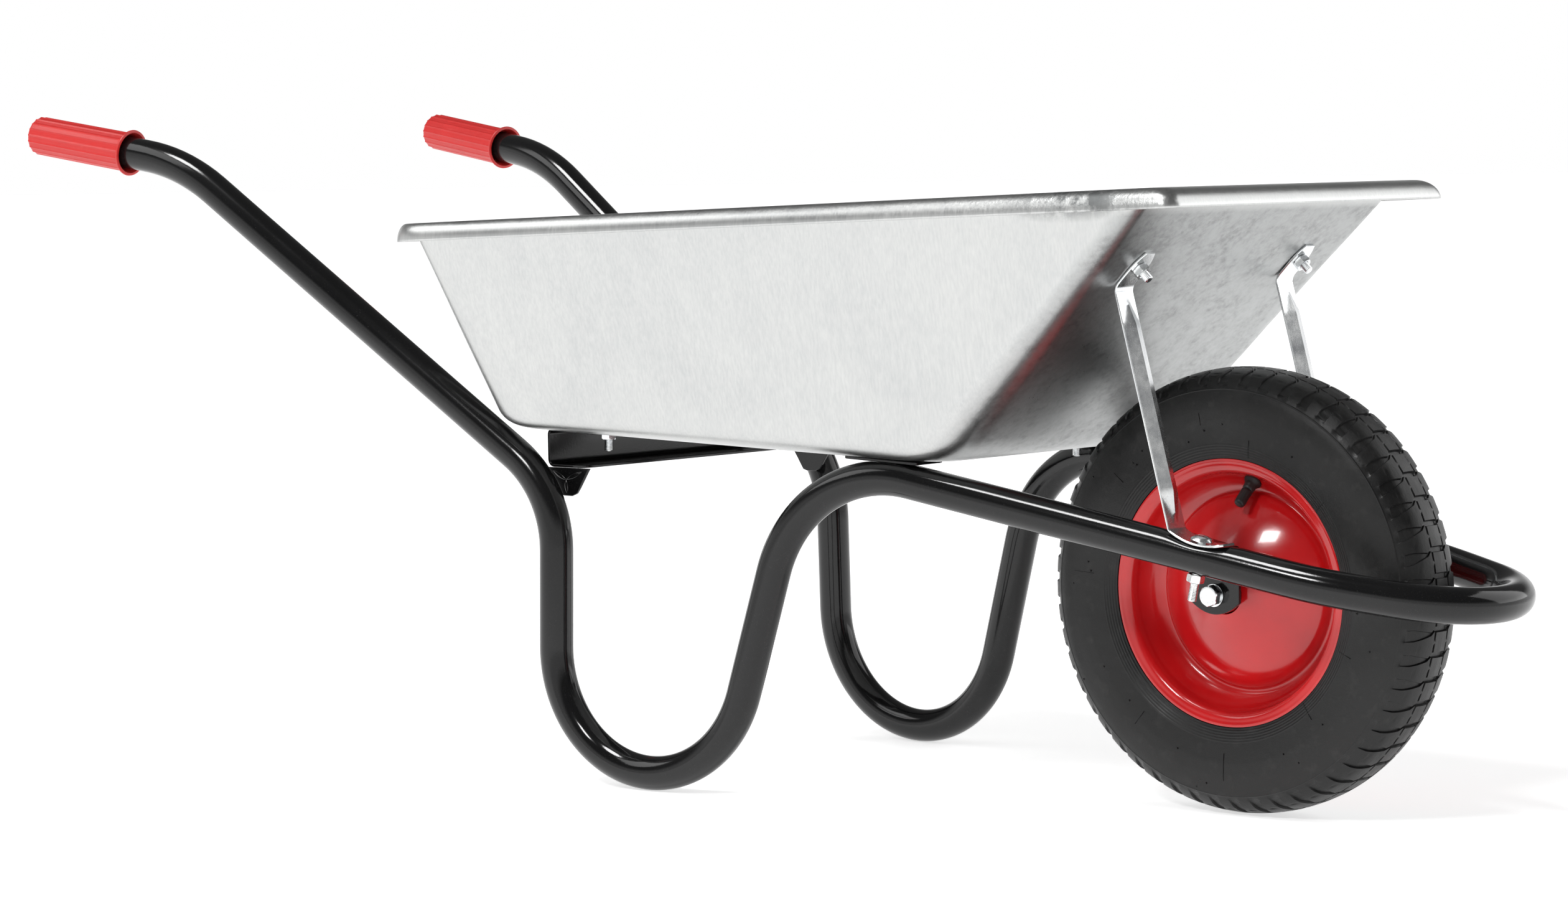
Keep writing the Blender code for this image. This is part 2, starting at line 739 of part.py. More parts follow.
def valve(rim_half, finishes, axis):
    """The valve stands out of the right rim half, leaning in towards the hub."""
    onto_wheel = Matrix.Rotation(VALVE_ANGLE, 4, "Y") @ Matrix(
        ((0, -1, 0, 0), (0, 0, -1, 0), (1, 0, 0, 0), (0, 0, 0, 1))
    )
    where = onto_wheel @ along(VALVE_SEAT, VALVE_WAY)
    hole = [circle(VALVE_HOLE_R, ROUND_STEPS, end) for end in (-0.006, 0.006)]
    shape = lofted(placed(hole, where))
    cut(rim_half, "valve_hole", shape)
    bpy.data.objects["valve_hole"].parent = axis
    stem = [
        (0.0052, -0.0090),
        (0.0052, 0.0040),
        (0.0078, 0.0040),
        (0.0076, 0.0050),
        (0.0054, 0.0070),
        (0.0050, 0.0125),
        (0.0036, 0.0135),
        (0.0036, 0.0175),
    ]
    rings = [circle(radius, ROUND_STEPS, height) for radius, height in stem]
    piece("valve_stem", lofted(placed(rings, where)), finishes["rubber"], axis)
    cap = [
        (0.0040, 0.0178),
        (0.0040, 0.0139),
        (0.0048, 0.0139),
        (0.0049, 0.0260),
        (0.0040, 0.0285),
        (0.0020, 0.0295),
    ]
    rings = [circle(radius, ROUND_STEPS, height) for radius, height in cap]
    piece("valve_cap", lofted(placed(rings, where)), finishes["rubber"], axis)


# ---- axle ----


def axle(finishes):
    centre = Vector((AXLE_X, 0, WHEEL_R))
    sideways = along(centre, Vector((0, 1, 0)))
    reach = BRACKET_FACE - GAP
    bore = outer(SLEEVE_BORE_R, HUB_STEPS)
    sleeve = [(SLEEVE_R, -reach), (SLEEVE_R, reach), (bore, reach), (bore, -reach)]
    rings = [circle(radius, HUB_STEPS, height) for radius, height in sleeve]
    piece("axle_sleeve", lofted(placed(rings, sideways), loop=True), finishes["zinc"])

    stack = BRACKET_FACE + BRACKET_T + GAP
    for name, side in SIDES:
        outward = along(centre, Vector((0, side, 0)))
        rings = [
            circle(WASHER_R, 16, stack),
            circle(WASHER_R, 16, stack + WASHER_T),
            circle(SLEEVE_BORE_R, 16, stack + WASHER_T),
            circle(SLEEVE_BORE_R, 16, stack),
        ]
        piece(name + "_axle_washer", lofted(placed(rings, outward), loop=True), finishes["zinc"])
        axle_bracket(name, side, finishes["black_paint"])

    seat = stack + WASHER_T + GAP
    head = [
        circle(AXLE_BOLT_FLATS / 2 - 0.0012, HUB_STEPS, -seat - AXLE_HEAD_H),
        circle(AXLE_BOLT_FLATS / 2, HUB_STEPS, -seat - AXLE_HEAD_H + 0.0006, flats=6),
        circle(AXLE_BOLT_FLATS / 2, HUB_STEPS, -seat, flats=6),
        circle(AXLE_BOLT_R, HUB_STEPS, -seat),
        circle(AXLE_BOLT_R, HUB_STEPS, seat + AXLE_NUT_H + 0.004),
    ]
    piece("axle_bolt", lofted(placed(head, sideways)), finishes["zinc"])
    nut(
        "axle_nut",
        centre + Vector((0, seat, 0)),
        Vector((0, 1, 0)),
        finishes["zinc"],
        AXLE_BOLT_FLATS,
        AXLE_NUT_H,
        AXLE_BOLT_R,
    )


def axle_bracket(name, side, finish):
    """A plate hanging inside the tube, its top turned outwards to meet the tube's flank."""
    inner, face = BRACKET_FACE, BRACKET_FACE + BRACKET_T
    corner_drop = 0.006
    rings = []
    for k in range(9):
        x = BRACKET_HALF * (k / 4 - 1)
        tube = run_point(x)
        flank = tube.y - TUBE_R / math.cos(math.atan2(-run_direction().y, run_direction().x)) - 2 * GAP
        low = WHEEL_R - BRACKET_DROP + (BRACKET_DROP - corner_drop) * (x / BRACKET_HALF) ** 2
        top = tube.z + BRACKET_T / 2
        section = [
            (inner, low),
            (face, low),
            (face, top - BRACKET_T),
            (flank, top - BRACKET_T),
            (flank, top),
            (inner, top),
        ]
        rings.append([station(x, side * y, z) for y, z in section])
    made = piece(name + "_axle_bracket", lofted(rings), finish)
    centre = station(0, side * (inner + face) / 2, WHEEL_R)
    drill(made, name + "_axle_hole", centre, Vector((0, 1, 0)), SLEEVE_BORE_R, DRILL_LENGTH)


def main():
    for old in list(bpy.data.objects):
        bpy.data.objects.remove(old, do_unlink=True)
    finishes = {
        "black_paint": material("black_paint", (0.012, 0.012, 0.013), 0.22, 0.0),
        "galvanised": material("galvanised", (0.62, 0.63, 0.64), 0.38, 1.0),
        "zinc": material("zinc", (0.70, 0.71, 0.72), 0.28, 1.0),
        "red_paint": material("red_paint", (0.58, 0.012, 0.012), 0.20, 0.0),
        "red_plastic": material("red_plastic", (0.68, 0.020, 0.022), 0.45, 0.0),
        "rubber": material("rubber", (0.022, 0.022, 0.023), 0.62, 0.0),
        "nylon": material("nylon", (0.75, 0.74, 0.70), 0.50, 0.0),
    }
    frame_tube(finishes["black_paint"])
    cross_member(finishes["black_paint"])
    lugs(finishes["black_paint"])
    grips(finishes["red_plastic"])
    tray(finishes["galvanised"])
    tray_fasteners(finishes["zinc"])
    braces(finishes["zinc"])
    axle(finishes)
    wheel(finishes)


main()
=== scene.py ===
"""Looks of the wheelbarrow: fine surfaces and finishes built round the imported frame, in metres.

+X runs forward to the wheel, +Y to the barrow's left, +Z up. Stations are measured forward of the axle.
"""
import json
import random
from math import atan2, ceil, cos, exp, log1p, pi, radians, sin, sqrt, tan

import bmesh
import bpy
from mathutils import Matrix, Vector


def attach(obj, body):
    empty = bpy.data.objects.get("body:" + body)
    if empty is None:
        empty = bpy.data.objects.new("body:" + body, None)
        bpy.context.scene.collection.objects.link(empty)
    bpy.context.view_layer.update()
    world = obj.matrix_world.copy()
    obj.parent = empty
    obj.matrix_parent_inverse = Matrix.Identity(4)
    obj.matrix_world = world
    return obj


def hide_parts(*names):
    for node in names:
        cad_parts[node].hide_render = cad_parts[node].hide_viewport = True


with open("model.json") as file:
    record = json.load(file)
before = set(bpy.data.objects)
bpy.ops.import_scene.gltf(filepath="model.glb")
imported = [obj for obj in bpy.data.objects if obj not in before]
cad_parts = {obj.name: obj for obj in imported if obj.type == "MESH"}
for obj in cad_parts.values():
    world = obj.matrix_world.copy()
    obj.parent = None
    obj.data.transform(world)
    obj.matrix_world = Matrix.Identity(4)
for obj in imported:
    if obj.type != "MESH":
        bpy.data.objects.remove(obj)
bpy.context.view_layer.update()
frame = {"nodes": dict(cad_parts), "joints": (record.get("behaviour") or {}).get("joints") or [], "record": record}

AXLE = Vector(frame["joints"][0]["pos_m"])
SIDES = (("left", 1), ("right", -1))
GAP = 0.0003
SHARP = 38

# Frame tube: corners are (station, half width, height)
TUBE_R = 0.0155
TUBE_SIDES = 36
BEND_STEP = radians(3)
LEG_X = -0.628
FOOT_CORNER_HALF = 0.222
FRONT_LEG_LEAN = radians(16.4)
HANDLE_END = Vector((-1.2375, 0.2776, 0.5995))
HANDLE_BEND = Vector((-1.058, 0.2550, 0.5711))
LEG_TOP_BEND = Vector((LEG_X, 0.1985, 0.268))
CREST_BEND = Vector((-0.352, 0.1772, 0.3089))
LOOP_FLARE = Vector((0.140, 0.1060, 0.2111))
LOOP_NOSE = Vector((0.2478, 0.0622, 0.1940))
HANDLE_BEND_R, LEG_TOP_BEND_R, CREST_BEND_R = 0.20, 0.107, 0.121
LOOP_FLARE_R, LOOP_NOSE_R = 0.25, 0.0915

# Grips
GRIP_LENGTH = 0.122
GRIP_R = 0.0184
GRIP_RIB = 0.0007
GRIP_RIBS = 18
GRIP_FLANGE_R = 0.0224
GRIP_FLANGE_T = 0.0024
GRIP_TAPER = 0.0003
GRIP_DOME = 0.0046

# Tray, measured along its outside
TRAY_T = 0.0012
RIM_FRONT = Vector((0.036, 0.1920, 0.540))
RIM_REAR = Vector((-0.724, 0.2985, 0.512))
FLOOR_FRONT = Vector((-0.198, 0.1820, 0.3035))
FLOOR_REAR = Vector((-0.690, 0.2290, 0.3258))
RIM_CORNER_R, LIP_CORNER_R = (0.014, 0.022), (0.014, 0.044)
FLOOR_CORNER_R = (0.050, 0.045)
FLOOR_BEND = 0.022
PANEL_LENGTH = 0.25
LIP_WIDTHS = (0.031, 0.0171, 0.0165)
LIP_DROP = 0.0155
SIDE_CUTS = (30, 22, 30, 20)

# Wheel
WHEEL_R = AXLE.z
TYRE_HALF = 0.0410
TREAD_PITCHES = 54
RIM_T = 0.0016
RIM_STEPS = 160
VALVE_TURN = radians(6.0)
VALVE_SEAT, VALVE_WAY = Vector((0.0968, 0, 0.0085)), Vector((-0.70, 0, 0.71))

# Fasteners, and where they stand
BOLT_R = 0.0040
THREAD_PITCH = 0.00125
NUT_FLATS, NUT_H = 0.0130, 0.0065
HEAD_R, HEAD_H = 0.0100, 0.0045
SLOT_HALF, SLOT_DEPTH = 0.0011, 0.0022
BOLT_PLAIN = 0.004
TOP_BOLT_LENGTH, REAR_BOLT_LENGTH, FRONT_BOLT_LENGTH = 0.018, 0.022, 0.020
FOOT_BOLT_LENGTH, FOOT_BOLT_PLAIN = 0.052, 0.030
REAR_BOLT_AT, FRONT_BOLT_AT = (-0.606, 0.150), (-0.287, 0.142)
CROSS_T, LUG_T, BRACE_T = 0.0025, 0.0025, 0.0020
BRACE_WIDTH, BRACE_CREASE, BRACE_STEP = 0.025, 0.0046, 0.004
BRACE_KNEE_R, BRACE_HEEL_R = 0.010, 0.0035
BRACE_TOP_HALF = 0.1215
BRACE_BOLT_HEIGHT = 0.474
BRACE_TIP, BRACE_LAND = 0.017, 0.024
FOOT_X, FOOT_HALF_LENGTH, FOOT_SAG = 0.031, 0.027, 0.0055

# Cross member, gussets, lugs and axle brackets
CROSS_REAR, CROSS_FRONT = -0.656, -0.586
CROSS_DEPTH, CROSS_FOOT, CROSS_HALF = 0.033, 0.045, 0.1780
CROSS_BEND_R, CROSS_CORNER_R = 0.006, 0.016
GUSSET_T = 0.003
LUG_X, LUG_HALF_LENGTH = -0.272, 0.040
LUG_INNER, LUG_OUTER = 0.125, 0.1700
LUG_CORNER_R = (0.010, 0.004)
BRACKET_FACE, BRACKET_T = 0.0512, 0.0040
BRACKET_HALF, BRACKET_DROP = 0.0248, 0.0165
AXLE_BOLT_R, AXLE_FLATS, AXLE_HEAD_H, AXLE_NUT_H = 0.0050, 0.0170, 0.0064, 0.0085
WASHER_R, WASHER_T, SLEEVE_BORE_R = 0.0098, 0.0030, 0.0055


# ---- finishes ----


def feed(socket, value):
    """Links the value to the socket if it is a socket too, or else sets it."""
    if isinstance(value, bpy.types.NodeSocket):
        socket.id_data.links.new(value, socket)
    else:
        socket.default_value = value


def node(tree, kind, inputs=None, **settings):
    """A shader node. Its inputs are other nodes' sockets, which get linked, or plain values."""
    made = tree.nodes.new("ShaderNode" + kind)
    for key, value in settings.items():
        setattr(made, key, value)
    for key, value in (inputs or {}).items():
        feed(made.inputs[key], value)
    return made


def finish(name, **constants):
    """A new material with constants on its shader, and its object coordinates."""
    made = bpy.data.materials.new(name)
    made.use_nodes = True
    shader = made.node_tree.nodes["Principled BSDF"]
    for key, value in constants.items():
        shader.inputs[key.replace("_", " ").title().replace("Ior", "IOR")].default_value = value
    return made, node(made.node_tree, "TexCoord").outputs["Object"]


def noise(where, scale, detail=4.0, roughness=0.55, stretch=(1, 1, 1), distortion=0.0):
    if stretch != (1, 1, 1):
        where = node(where.id_data, "Mapping", {"Vector": where, "Scale": stretch}).outputs["Vector"]
    inputs = {"Vector": where, "Scale": scale, "Detail": detail, "Roughness": roughness}
    inputs["Distortion"] = distortion
    return node(where.id_data, "TexNoise", inputs).outputs["Fac"]


def spread(value, low, high, to_low=0.0, to_high=1.0):
    """The value stretched from one range to another, and kept inside it."""
    inputs = {"Value": value, "From Min": low, "From Max": high, "To Min": to_low, "To Max": to_high}
    return node(value.id_data, "MapRange", inputs).outputs["Result"]


def blended(share, first, second):
    """A colour between two, by the share."""
    mix = node(share.id_data, "Mix", {"Factor": share}, data_type="RGBA")
    for name, colour in (("A", first), ("B", second)):
        target = next(s for s in mix.inputs if s.name == name and s.enabled)
        feed(target, (*colour, 1.0) if isinstance(colour, tuple) else colour)
    return next(s for s in mix.outputs if s.enabled)


def combined(operation, first, second):
    return node(first.id_data, "Math", {0: first, 1: second}, operation=operation).outputs[0]


def weighted(*terms):
    """The sum of the values, each times its weight."""
    parts = [combined("MULTIPLY", value, weight) for value, weight in terms]
    total = parts[0]
    for part in parts[1:]:
        total = combined("ADD", total, part)
    return total


def vector_math(operation, first, second=(0, 0, 0)):
    made = node(first.id_data, "VectorMath", {0: first, 1: tuple(second)}, operation=operation)
    return made.outputs["Value" if operation in ("LENGTH", "DOT_PRODUCT") else "Vector"]


def height_of(where):
    return node(where.id_data, "SeparateXYZ", {"Vector": where}).outputs["Z"]


def dressed(made, colour, roughness, relief, strength, distance):
    """The material with its colour and roughness, and bumps of the relief."""
    shader = made.node_tree.nodes["Principled BSDF"]
    bump = {"Height": relief, "Strength": strength, "Distance": distance}
    feed(shader.inputs["Base Color"], colour)
    feed(shader.inputs["Roughness"], roughness)
    feed(shader.inputs["Normal"], node(made.node_tree, "Bump", bump).outputs["Normal"])
    return made


def black_paint():
    """Stoved gloss black on the tube, with a slight orange peel and a little dust."""
    made, where = finish("black_paint", specular_ior_level=0.38)
    peel = noise(where, 420, 2)
    cloud = noise(where, 9, 5)
    specks = spread(noise(where, 900, 1), 0.68, 0.76)
    base = blended(cloud, (0.0030, 0.0030, 0.0032), (0.0065, 0.0065, 0.0067))
    colour = blended(specks, base, (0.020, 0.0195, 0.019))
    return dressed(made, colour, spread(cloud, 0.3, 0.7, 0.09, 0.15), peel, 0.05, 0.0004)


def galvanised():
    """Hot-dipped sheet: faint spangle, streaks down the panels, cloudy dull patches and fine scratches. The front
    panel carries painted shade: a darker zinc colour that gets darker still towards its top, with drag and blotch
    wear marks in it.
    """
    made, where = finish("galvanised", metallic=1.0)
    streaks = noise(where, 1.0, 2, 0.6, (520, 520, 6))
    bands = noise(where, 1.0, 3, 0.6, (75, 75, 2.5))
    fine = noise(where, 1.0, 3, 0.6, (900, 900, 40))
    cloud = noise(where, 6.5, 5, 0.6, (1, 1, 1), 0.6)
    blotch = noise(where, 38, 6, 0.7)
    cells = node(where.id_data, "TexVoronoi", {"Vector": where, "Scale": 95.0, "Randomness": 1.0})
    spangle = node(where.id_data, "SeparateColor", {"Color": cells.outputs["Color"]}).outputs[0]
    tone = weighted((spread(cloud, 0.30, 0.70), 0.40), (spread(streaks, 0.32, 0.68), 0.42),
                    (spread(bands, 0.35, 0.65), 0.16), (spangle, 0.08), (spread(blotch, 0.45, 0.75), 0.10))
    sheet = blended(tone, (0.415, 0.423, 0.425), (0.545, 0.55, 0.54))
    drag = noise(tilted(where), 1.0, 5, 0.65, (160, 160, 14))
    wear_and_shade = combined("MULTIPLY", spread(drag, 0.35, 0.72), spread(blotch, 0.35, 0.6))
    # Darker towards the top of the front panel: painted shade.
    wear_and_shade = combined("ADD", wear_and_shade, spread(height_of(where), 0.42, 0.56, 0.0, 0.55))
    # The front panel's darker colour is painted shade. The drag and blotch marks in it are wear.
    dulled_and_shaded = blended(wear_and_shade, (0.37, 0.38, 0.38), (0.17, 0.174, 0.174))
    sheet = blended(combined("MULTIPLY", front_panel(where), 0.8), sheet, dulled_and_shaded)
    corner = mottled_corner(where, blotch)
    colour = blended(corner, sheet, (0.13, 0.135, 0.135))
    roughness = weighted((spread(tone, 0.1, 0.9, 0.27, 0.37), 1.0), (corner, 0.16))
    drips = combined("MULTIPLY", blotch, corner)
    relief = weighted((streaks, 0.6), (fine, 0.35), (cloud, 1.2), (drips, 2.5))
    return dressed(made, colour, roughness, relief, 0.10, 0.0012)


def tilted(where):
    """Object coordinates turned so that Z runs slantwise up the front panel."""
    inputs = {"Vector": where, "Rotation": (radians(52), radians(38), 0.0)}
    return node(where.id_data, "Mapping", inputs).outputs["Vector"]


def front_panel(where):
    """How far a point belongs to the front panel, whose zinc colour is painted darker than the sides' as painted
    shade.
    """
    square = panel_out()
    reach = vector_math("DOT_PRODUCT", where, square)
    face = square.dot(station(FLOOR_FRONT.x, 0, FLOOR_FRONT.z))
    lip = RIM_FRONT.z - LIP_DROP
    below_lip = spread(height_of(where), lip - 0.007, lip, 1.0, 0.0)
    return combined("MULTIPLY", spread(reach, face - 0.016, face - 0.003), below_lip)


def mottled_corner(where, blotch):
    """How far a point lies in the rough drips of zinc along the rim near its right front corner."""
    spot = Vector((AXLE.x - 0.030, -0.212, 0.531))
    scaled = vector_math("MULTIPLY", vector_math("SUBTRACT", where, spot), (10.5, 34.0, 45.0))
    near = spread(vector_math("LENGTH", scaled), 0.35, 1.0, 1.0, 0.0)
    return combined("MULTIPLY", near, spread(blotch, 0.42, 0.56))


def zinc_plate():
    """Bright zinc plating on pressed straps and fasteners, with dull specks and rubbed marks."""
    made, where = finish("zinc_plate", metallic=1.0)
    cloud = noise(where, 45, 5, 0.6)
    specks = spread(noise(where, 700, 3, 0.7), 0.60, 0.72)
    rubbed = noise(where, 1.0, 3, 0.6, (500, 500, 60))
    base = blended(spread(cloud, 0.35, 0.7), (0.70, 0.72, 0.74), (0.90, 0.91, 0.90))
    colour = blended(specks, base, (0.48, 0.49, 0.49))
    roughness = weighted((spread(cloud, 0.3, 0.7, 0.16, 0.30), 1.0), (specks, 0.14))
    return dressed(made, colour, roughness, combined("ADD", rubbed, cloud), 0.12, 0.0003)


def red_paint():
    """Wet-looking red enamel on the rim: thick, with long soft ripples."""
    made, where = finish("red_paint", coat_weight=0.25, coat_roughness=0.04)
    ripple = noise(where, 55, 3)
    peel = noise(where, 380, 2)
    cloud = noise(where, 14, 4)
    base = blended(spread(cloud, 0.3, 0.7), (0.44, 0.0055, 0.0080), (0.55, 0.0095, 0.0110))
    colour = blended(spread(noise(where, 850, 2), 0.70, 0.78), base, (0.22, 0.008, 0.008))
    relief = weighted((ripple, 1.0), (peel, 0.25))
    return dressed(made, colour, spread(cloud, 0.3, 0.7, 0.12, 0.22), relief, 0.08, 0.0008)


def red_plastic():
    """Soft moulded plastic of the grips: lengthwise drag marks and a few scuffs."""
    made, where = finish("red_plastic", subsurface_weight=0.08, subsurface_radius=(0.004, 0.0008, 0.0008))
    drag = noise(where, 1.0, 4, 0.6, (60, 700, 700))
    cloud = noise(where, 40, 4)
    scuff = spread(noise(where, 1.0, 5, 0.75, (70, 260, 260)), 0.62, 0.72)
    base = blended(cloud, (0.45, 0.010, 0.009), (0.55, 0.018, 0.016))
    colour = blended(scuff, base, (0.50, 0.045, 0.040))
    relief = weighted((drag, 1.0), (cloud, 0.5))
    return dressed(made, colour, spread(drag, 0.3, 0.7, 0.34, 0.50), relief, 0.18, 0.0003)


def tyre_rubber():
    """Moulded black rubber, a little dusty, with faint turning marks."""
    made, where = finish("tyre_rubber", specular_ior_level=0.34)
    grain = noise(where, 1300, 3, 0.6)
    cloud = noise(where, 22, 6, 0.65)
    smear = noise(where, 70, 4, 0.6, (1, 2.5, 1))
    base = blended(spread(cloud, 0.3, 0.7), (0.0030, 0.0030, 0.0031), (0.0075, 0.0073, 0.0071))
    colour = blended(spread(smear, 0.55, 0.8), base, (0.016, 0.0155, 0.015))
    relief = weighted((grain, 1.0), (smear, 3.0))
    return dressed(made, colour, spread(cloud, 0.3, 0.7, 0.26, 0.50), relief, 0.30, 0.0003)


def valve_rubber():
    made, where = finish("valve_rubber", specular_ior_level=0.4)
    grain = noise(where, 900, 3)
    colour = blended(grain, (0.006, 0.006, 0.006), (0.016, 0.016, 0.016))
    return dressed(made, colour, spread(grain, 0.3, 0.7, 0.38, 0.55), grain, 0.15, 0.0002)


def bush_nylon():
    made, where = finish("bush_nylon", subsurface_weight=0.1, subsurface_radius=(0.002, 0.002, 0.0015))
    cloud = noise(where, 60, 4)
    colour = blended(cloud, (0.62, 0.60, 0.55), (0.78, 0.77, 0.73))
    return dressed(made, colour, spread(cloud, 0.3, 0.7, 0.40, 0.55), cloud, 0.1, 0.0003)


# ---- shapes ----


def linked(name, data):
    """A new object in the scene that holds the data."""
    made = bpy.data.objects.new(name, data)
    bpy.context.scene.collection.objects.link(made)
    return made


def closed_mesh(name, points, faces):
    """A mesh whose faces all look outwards."""
    mesh = bpy.data.meshes.new(name)
    mesh.from_pydata([tuple(p) for p in points], [], faces)
    shape = bmesh.new()
    shape.from_mesh(mesh)
    bmesh.ops.recalc_face_normals(shape, faces=shape.faces)
    shape.to_mesh(mesh)
    shape.free()
    return mesh


def smoothed(mesh, sharp):
    """Shades the mesh smooth but for edges that turn more than the sharp angle, in degrees."""
    mesh.shade_smooth()
    mesh.set_sharp_from_angle(angle=radians(sharp))


def settled(name, shape, slot, stands_for=(), sharp=SHARP, body="frame"):
    """The piece made from a shape's points and faces, riding on its body in its slot's finish."""
    mesh = closed_mesh(name, *shape)
    smoothed(mesh, sharp)
    mesh.materials.append(FINISHES[slot])
    made = linked(name, mesh)
    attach(made, body)
    if stands_for:
        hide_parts(*stands_for)
    return made


def lofted(rings, loop=False):
    """Points and faces through closed rings of equal length: capped at both ends, or joined end to end."""
    rows, count = len(rings), len(rings[0])
    points = [point for ring in rings for point in ring]
    faces = []
    for row in range(rows if loop else rows - 1):
        low, high = row * count, (row + 1) % rows * count
        for k in range(count):
            j = (k + 1) % count
            faces.append((low + k, low + j, high + j, high + k))
    if not loop:
        faces += [tuple(range(count)), tuple(range((rows - 1) * count, rows * count))]
    return points, faces


def softened(made, width, segments=2):
    """Rounds the piece's edges."""
    edge = made.modifiers.new("edge", "BEVEL")
    edge.width = width
    edge.segments = segments
    edge.limit_method = "ANGLE"
    edge.angle_limit = radians(SHARP)


def circle(radius, count, height=0.0, flats=0, chamfer=None):
    """A ring about +Z. With flats, radius is half the width across them; chamfer cuts its corners."""
    points = []
    for k in range(count):
        angle = 2 * pi * k / count
        reach = radius
        if flats:
            turn = 2 * pi / flats
            reach = radius / cos((angle + turn / 2) % turn - turn / 2)
            reach = min(reach, chamfer or reach)
        points.append(Vector((reach * cos(angle), reach * sin(angle), height)))
    return points


def turned(profile, count):
    """Rings about +Z through a profile's (radius, height) points."""
    return [circle(radius, count, height) for radius, height in profile]


def placed(rings, where):
    return [[where @ point for point in ring] for ring in rings]


def along(origin, direction):
    """The placing that turns +Z to the direction, at the origin."""
    return Matrix.Translation(origin) @ direction.to_track_quat("Z", "Y").to_matrix().to_4x4()


def station(x, y, z):
    return Vector((x + AXLE.x, y, z))


def mirrored(point, side):
    return Vector((point.x, point.y * side, point.z))


def on_side(point, side):
    return station(*mirrored(point, side))


def bend(before, corner, after, radius, step=BEND_STEP):
    """Points of the arc that rounds a corner between two straight runs."""
    into, out = (corner - before).normalized(), (after - corner).normalized()
    turn = into.angle(out)
    centre = corner + (out - into).normalized() * radius / cos(turn / 2)
    count = max(2, ceil(turn / step))
    axis = into.cross(out).normalized()
    start = corner - into * radius * tan(turn / 2) - centre
    return [centre + Matrix.Rotation(turn * k / count, 3, axis) @ start for k in range(count + 1)]


def smooth_line(points, spacing):
    """Points a spacing apart on the smooth curve through the given points."""
    line = []
    for k in range(len(points) - 1):
        before, after = points[max(k - 1, 0)], points[min(k + 2, len(points) - 1)]
        a, b = points[k], points[k + 1]
        steps = max(1, round((b - a).length / spacing))
        for j in range(steps):
            t = j / steps
            first, last = (b - before) / 2, (after - a) / 2
            line.append(a * (1 + t * t * (2 * t - 3)) + b * (t * t * (3 - 2 * t))
                        + first * (t * (1 - t) ** 2) + last * (t * t * (t - 1)))
    return line + [points[-1]]


# ---- frame tube ----


def foot_corner():
    depth = (CREST_BEND.x - LEG_X) / tan(FRONT_LEG_LEAN)
    return Vector((LEG_X, FOOT_CORNER_HALF, CREST_BEND.z - depth))


def foot_bend_radius():
    """The radius that sets the underside of the rounded foot on the ground."""
    corner = foot_corner()
    into, out = (corner - LEG_TOP_BEND).normalized(), (CREST_BEND - corner).normalized()
    rise = (out - into).normalized().z / cos(into.angle(out) / 2)
    dip = sqrt(1 - into.cross(out).normalized().z ** 2)
    return (TUBE_R - corner.z) / (rise - dip)


def run_direction():
    return (LOOP_FLARE - CREST_BEND).normalized()


def run_point(x):
    """The tube's centre at a station of the straight run from the crest to the loop."""
    run = LOOP_FLARE - CREST_BEND
    return CREST_BEND + run * (x - CREST_BEND.x) / run.x


def run_up():
    forward = run_direction()
    return forward.cross(Vector((0, 0, 1)).cross(forward).normalized())


def side_path():
    """The left side's centreline, from the grip to the middle of the front loop."""
    corners = [
        (HANDLE_BEND, HANDLE_BEND_R),
        (LEG_TOP_BEND, LEG_TOP_BEND_R),
        (foot_corner(), foot_bend_radius()),
        (CREST_BEND, CREST_BEND_R),
        (LOOP_FLARE, LOOP_FLARE_R),
        (LOOP_NOSE, LOOP_NOSE_R),
    ]
    knots = [HANDLE_END] + [corner for corner, _ in corners] + [mirrored(LOOP_NOSE, -1)]
    points = [HANDLE_END]
    for k, (corner, radius) in enumerate(corners):
        if corner is LOOP_FLARE:
            centre, reach = run_point(FOOT_X), FOOT_HALF_LENGTH * 1.5
            points += [centre + run_direction() * reach * j / 26 for j in range(-26, 27)]
        points += bend(knots[k], corner, knots[k + 2], radius)
    return points


def foot_rise(reach):
    """Height of a brace foot's underside above its low point, at a distance along the tube."""
    return FOOT_SAG * (reach / FOOT_HALF_LENGTH) ** 2


def eased(height, limit, soft=0.0016):
    """The height kept under a limit, turning smoothly into it."""
    over = (height - limit) / soft
    return limit - soft * log1p(exp(-over)) if over > -8 else height


def pressed(point, side):
    """Moves a point of the tube's skin down where a brace foot or the tray has pressed it in."""
    local = mirrored(point, side)
    from_foot = local - run_point(FOOT_X)
    height = from_foot.dot(run_up())
    reach = (from_foot - run_up() * height).x / run_direction().x
    if abs(reach) < FOOT_HALF_LENGTH * 1.6:
        limit = TUBE_R - FOOT_SAG + foot_rise(reach) - 2 * GAP
        local = local + run_up() * (eased(height, limit) - height)
    if CREST_BEND.x < local.x < FLOOR_FRONT.x:
        local.z = min(local.z, floor_height(local.x) - LUG_T - 2 * GAP)
    return mirrored(local, side)


def frame_tube():
    left = side_path()
    path = left + [mirrored(p, -1) for p in reversed(left)]
    rings, previous = [], None
    for k, centre in enumerate(path):
        tangent = (path[min(k + 1, len(path) - 1)] - path[max(k - 1, 0)]).normalized()
        if previous:
            normal = previous.rotation_difference(tangent) @ normal
        else:
            normal = tangent.orthogonal().normalized()
        previous = tangent
        across = tangent.cross(normal)
        ring = []
        for j in range(TUBE_SIDES):
            angle = 2 * pi * j / TUBE_SIDES
            spoke = normal * cos(angle) + across * sin(angle)
            ring.append(station(*pressed(centre + spoke * TUBE_R, 1 if k < len(left) else -1)))
        rings.append(ring)
    settled("bent_tube", lofted(rings), "frame_paint", ["frame_tube"], 60)


# ---- grips ----


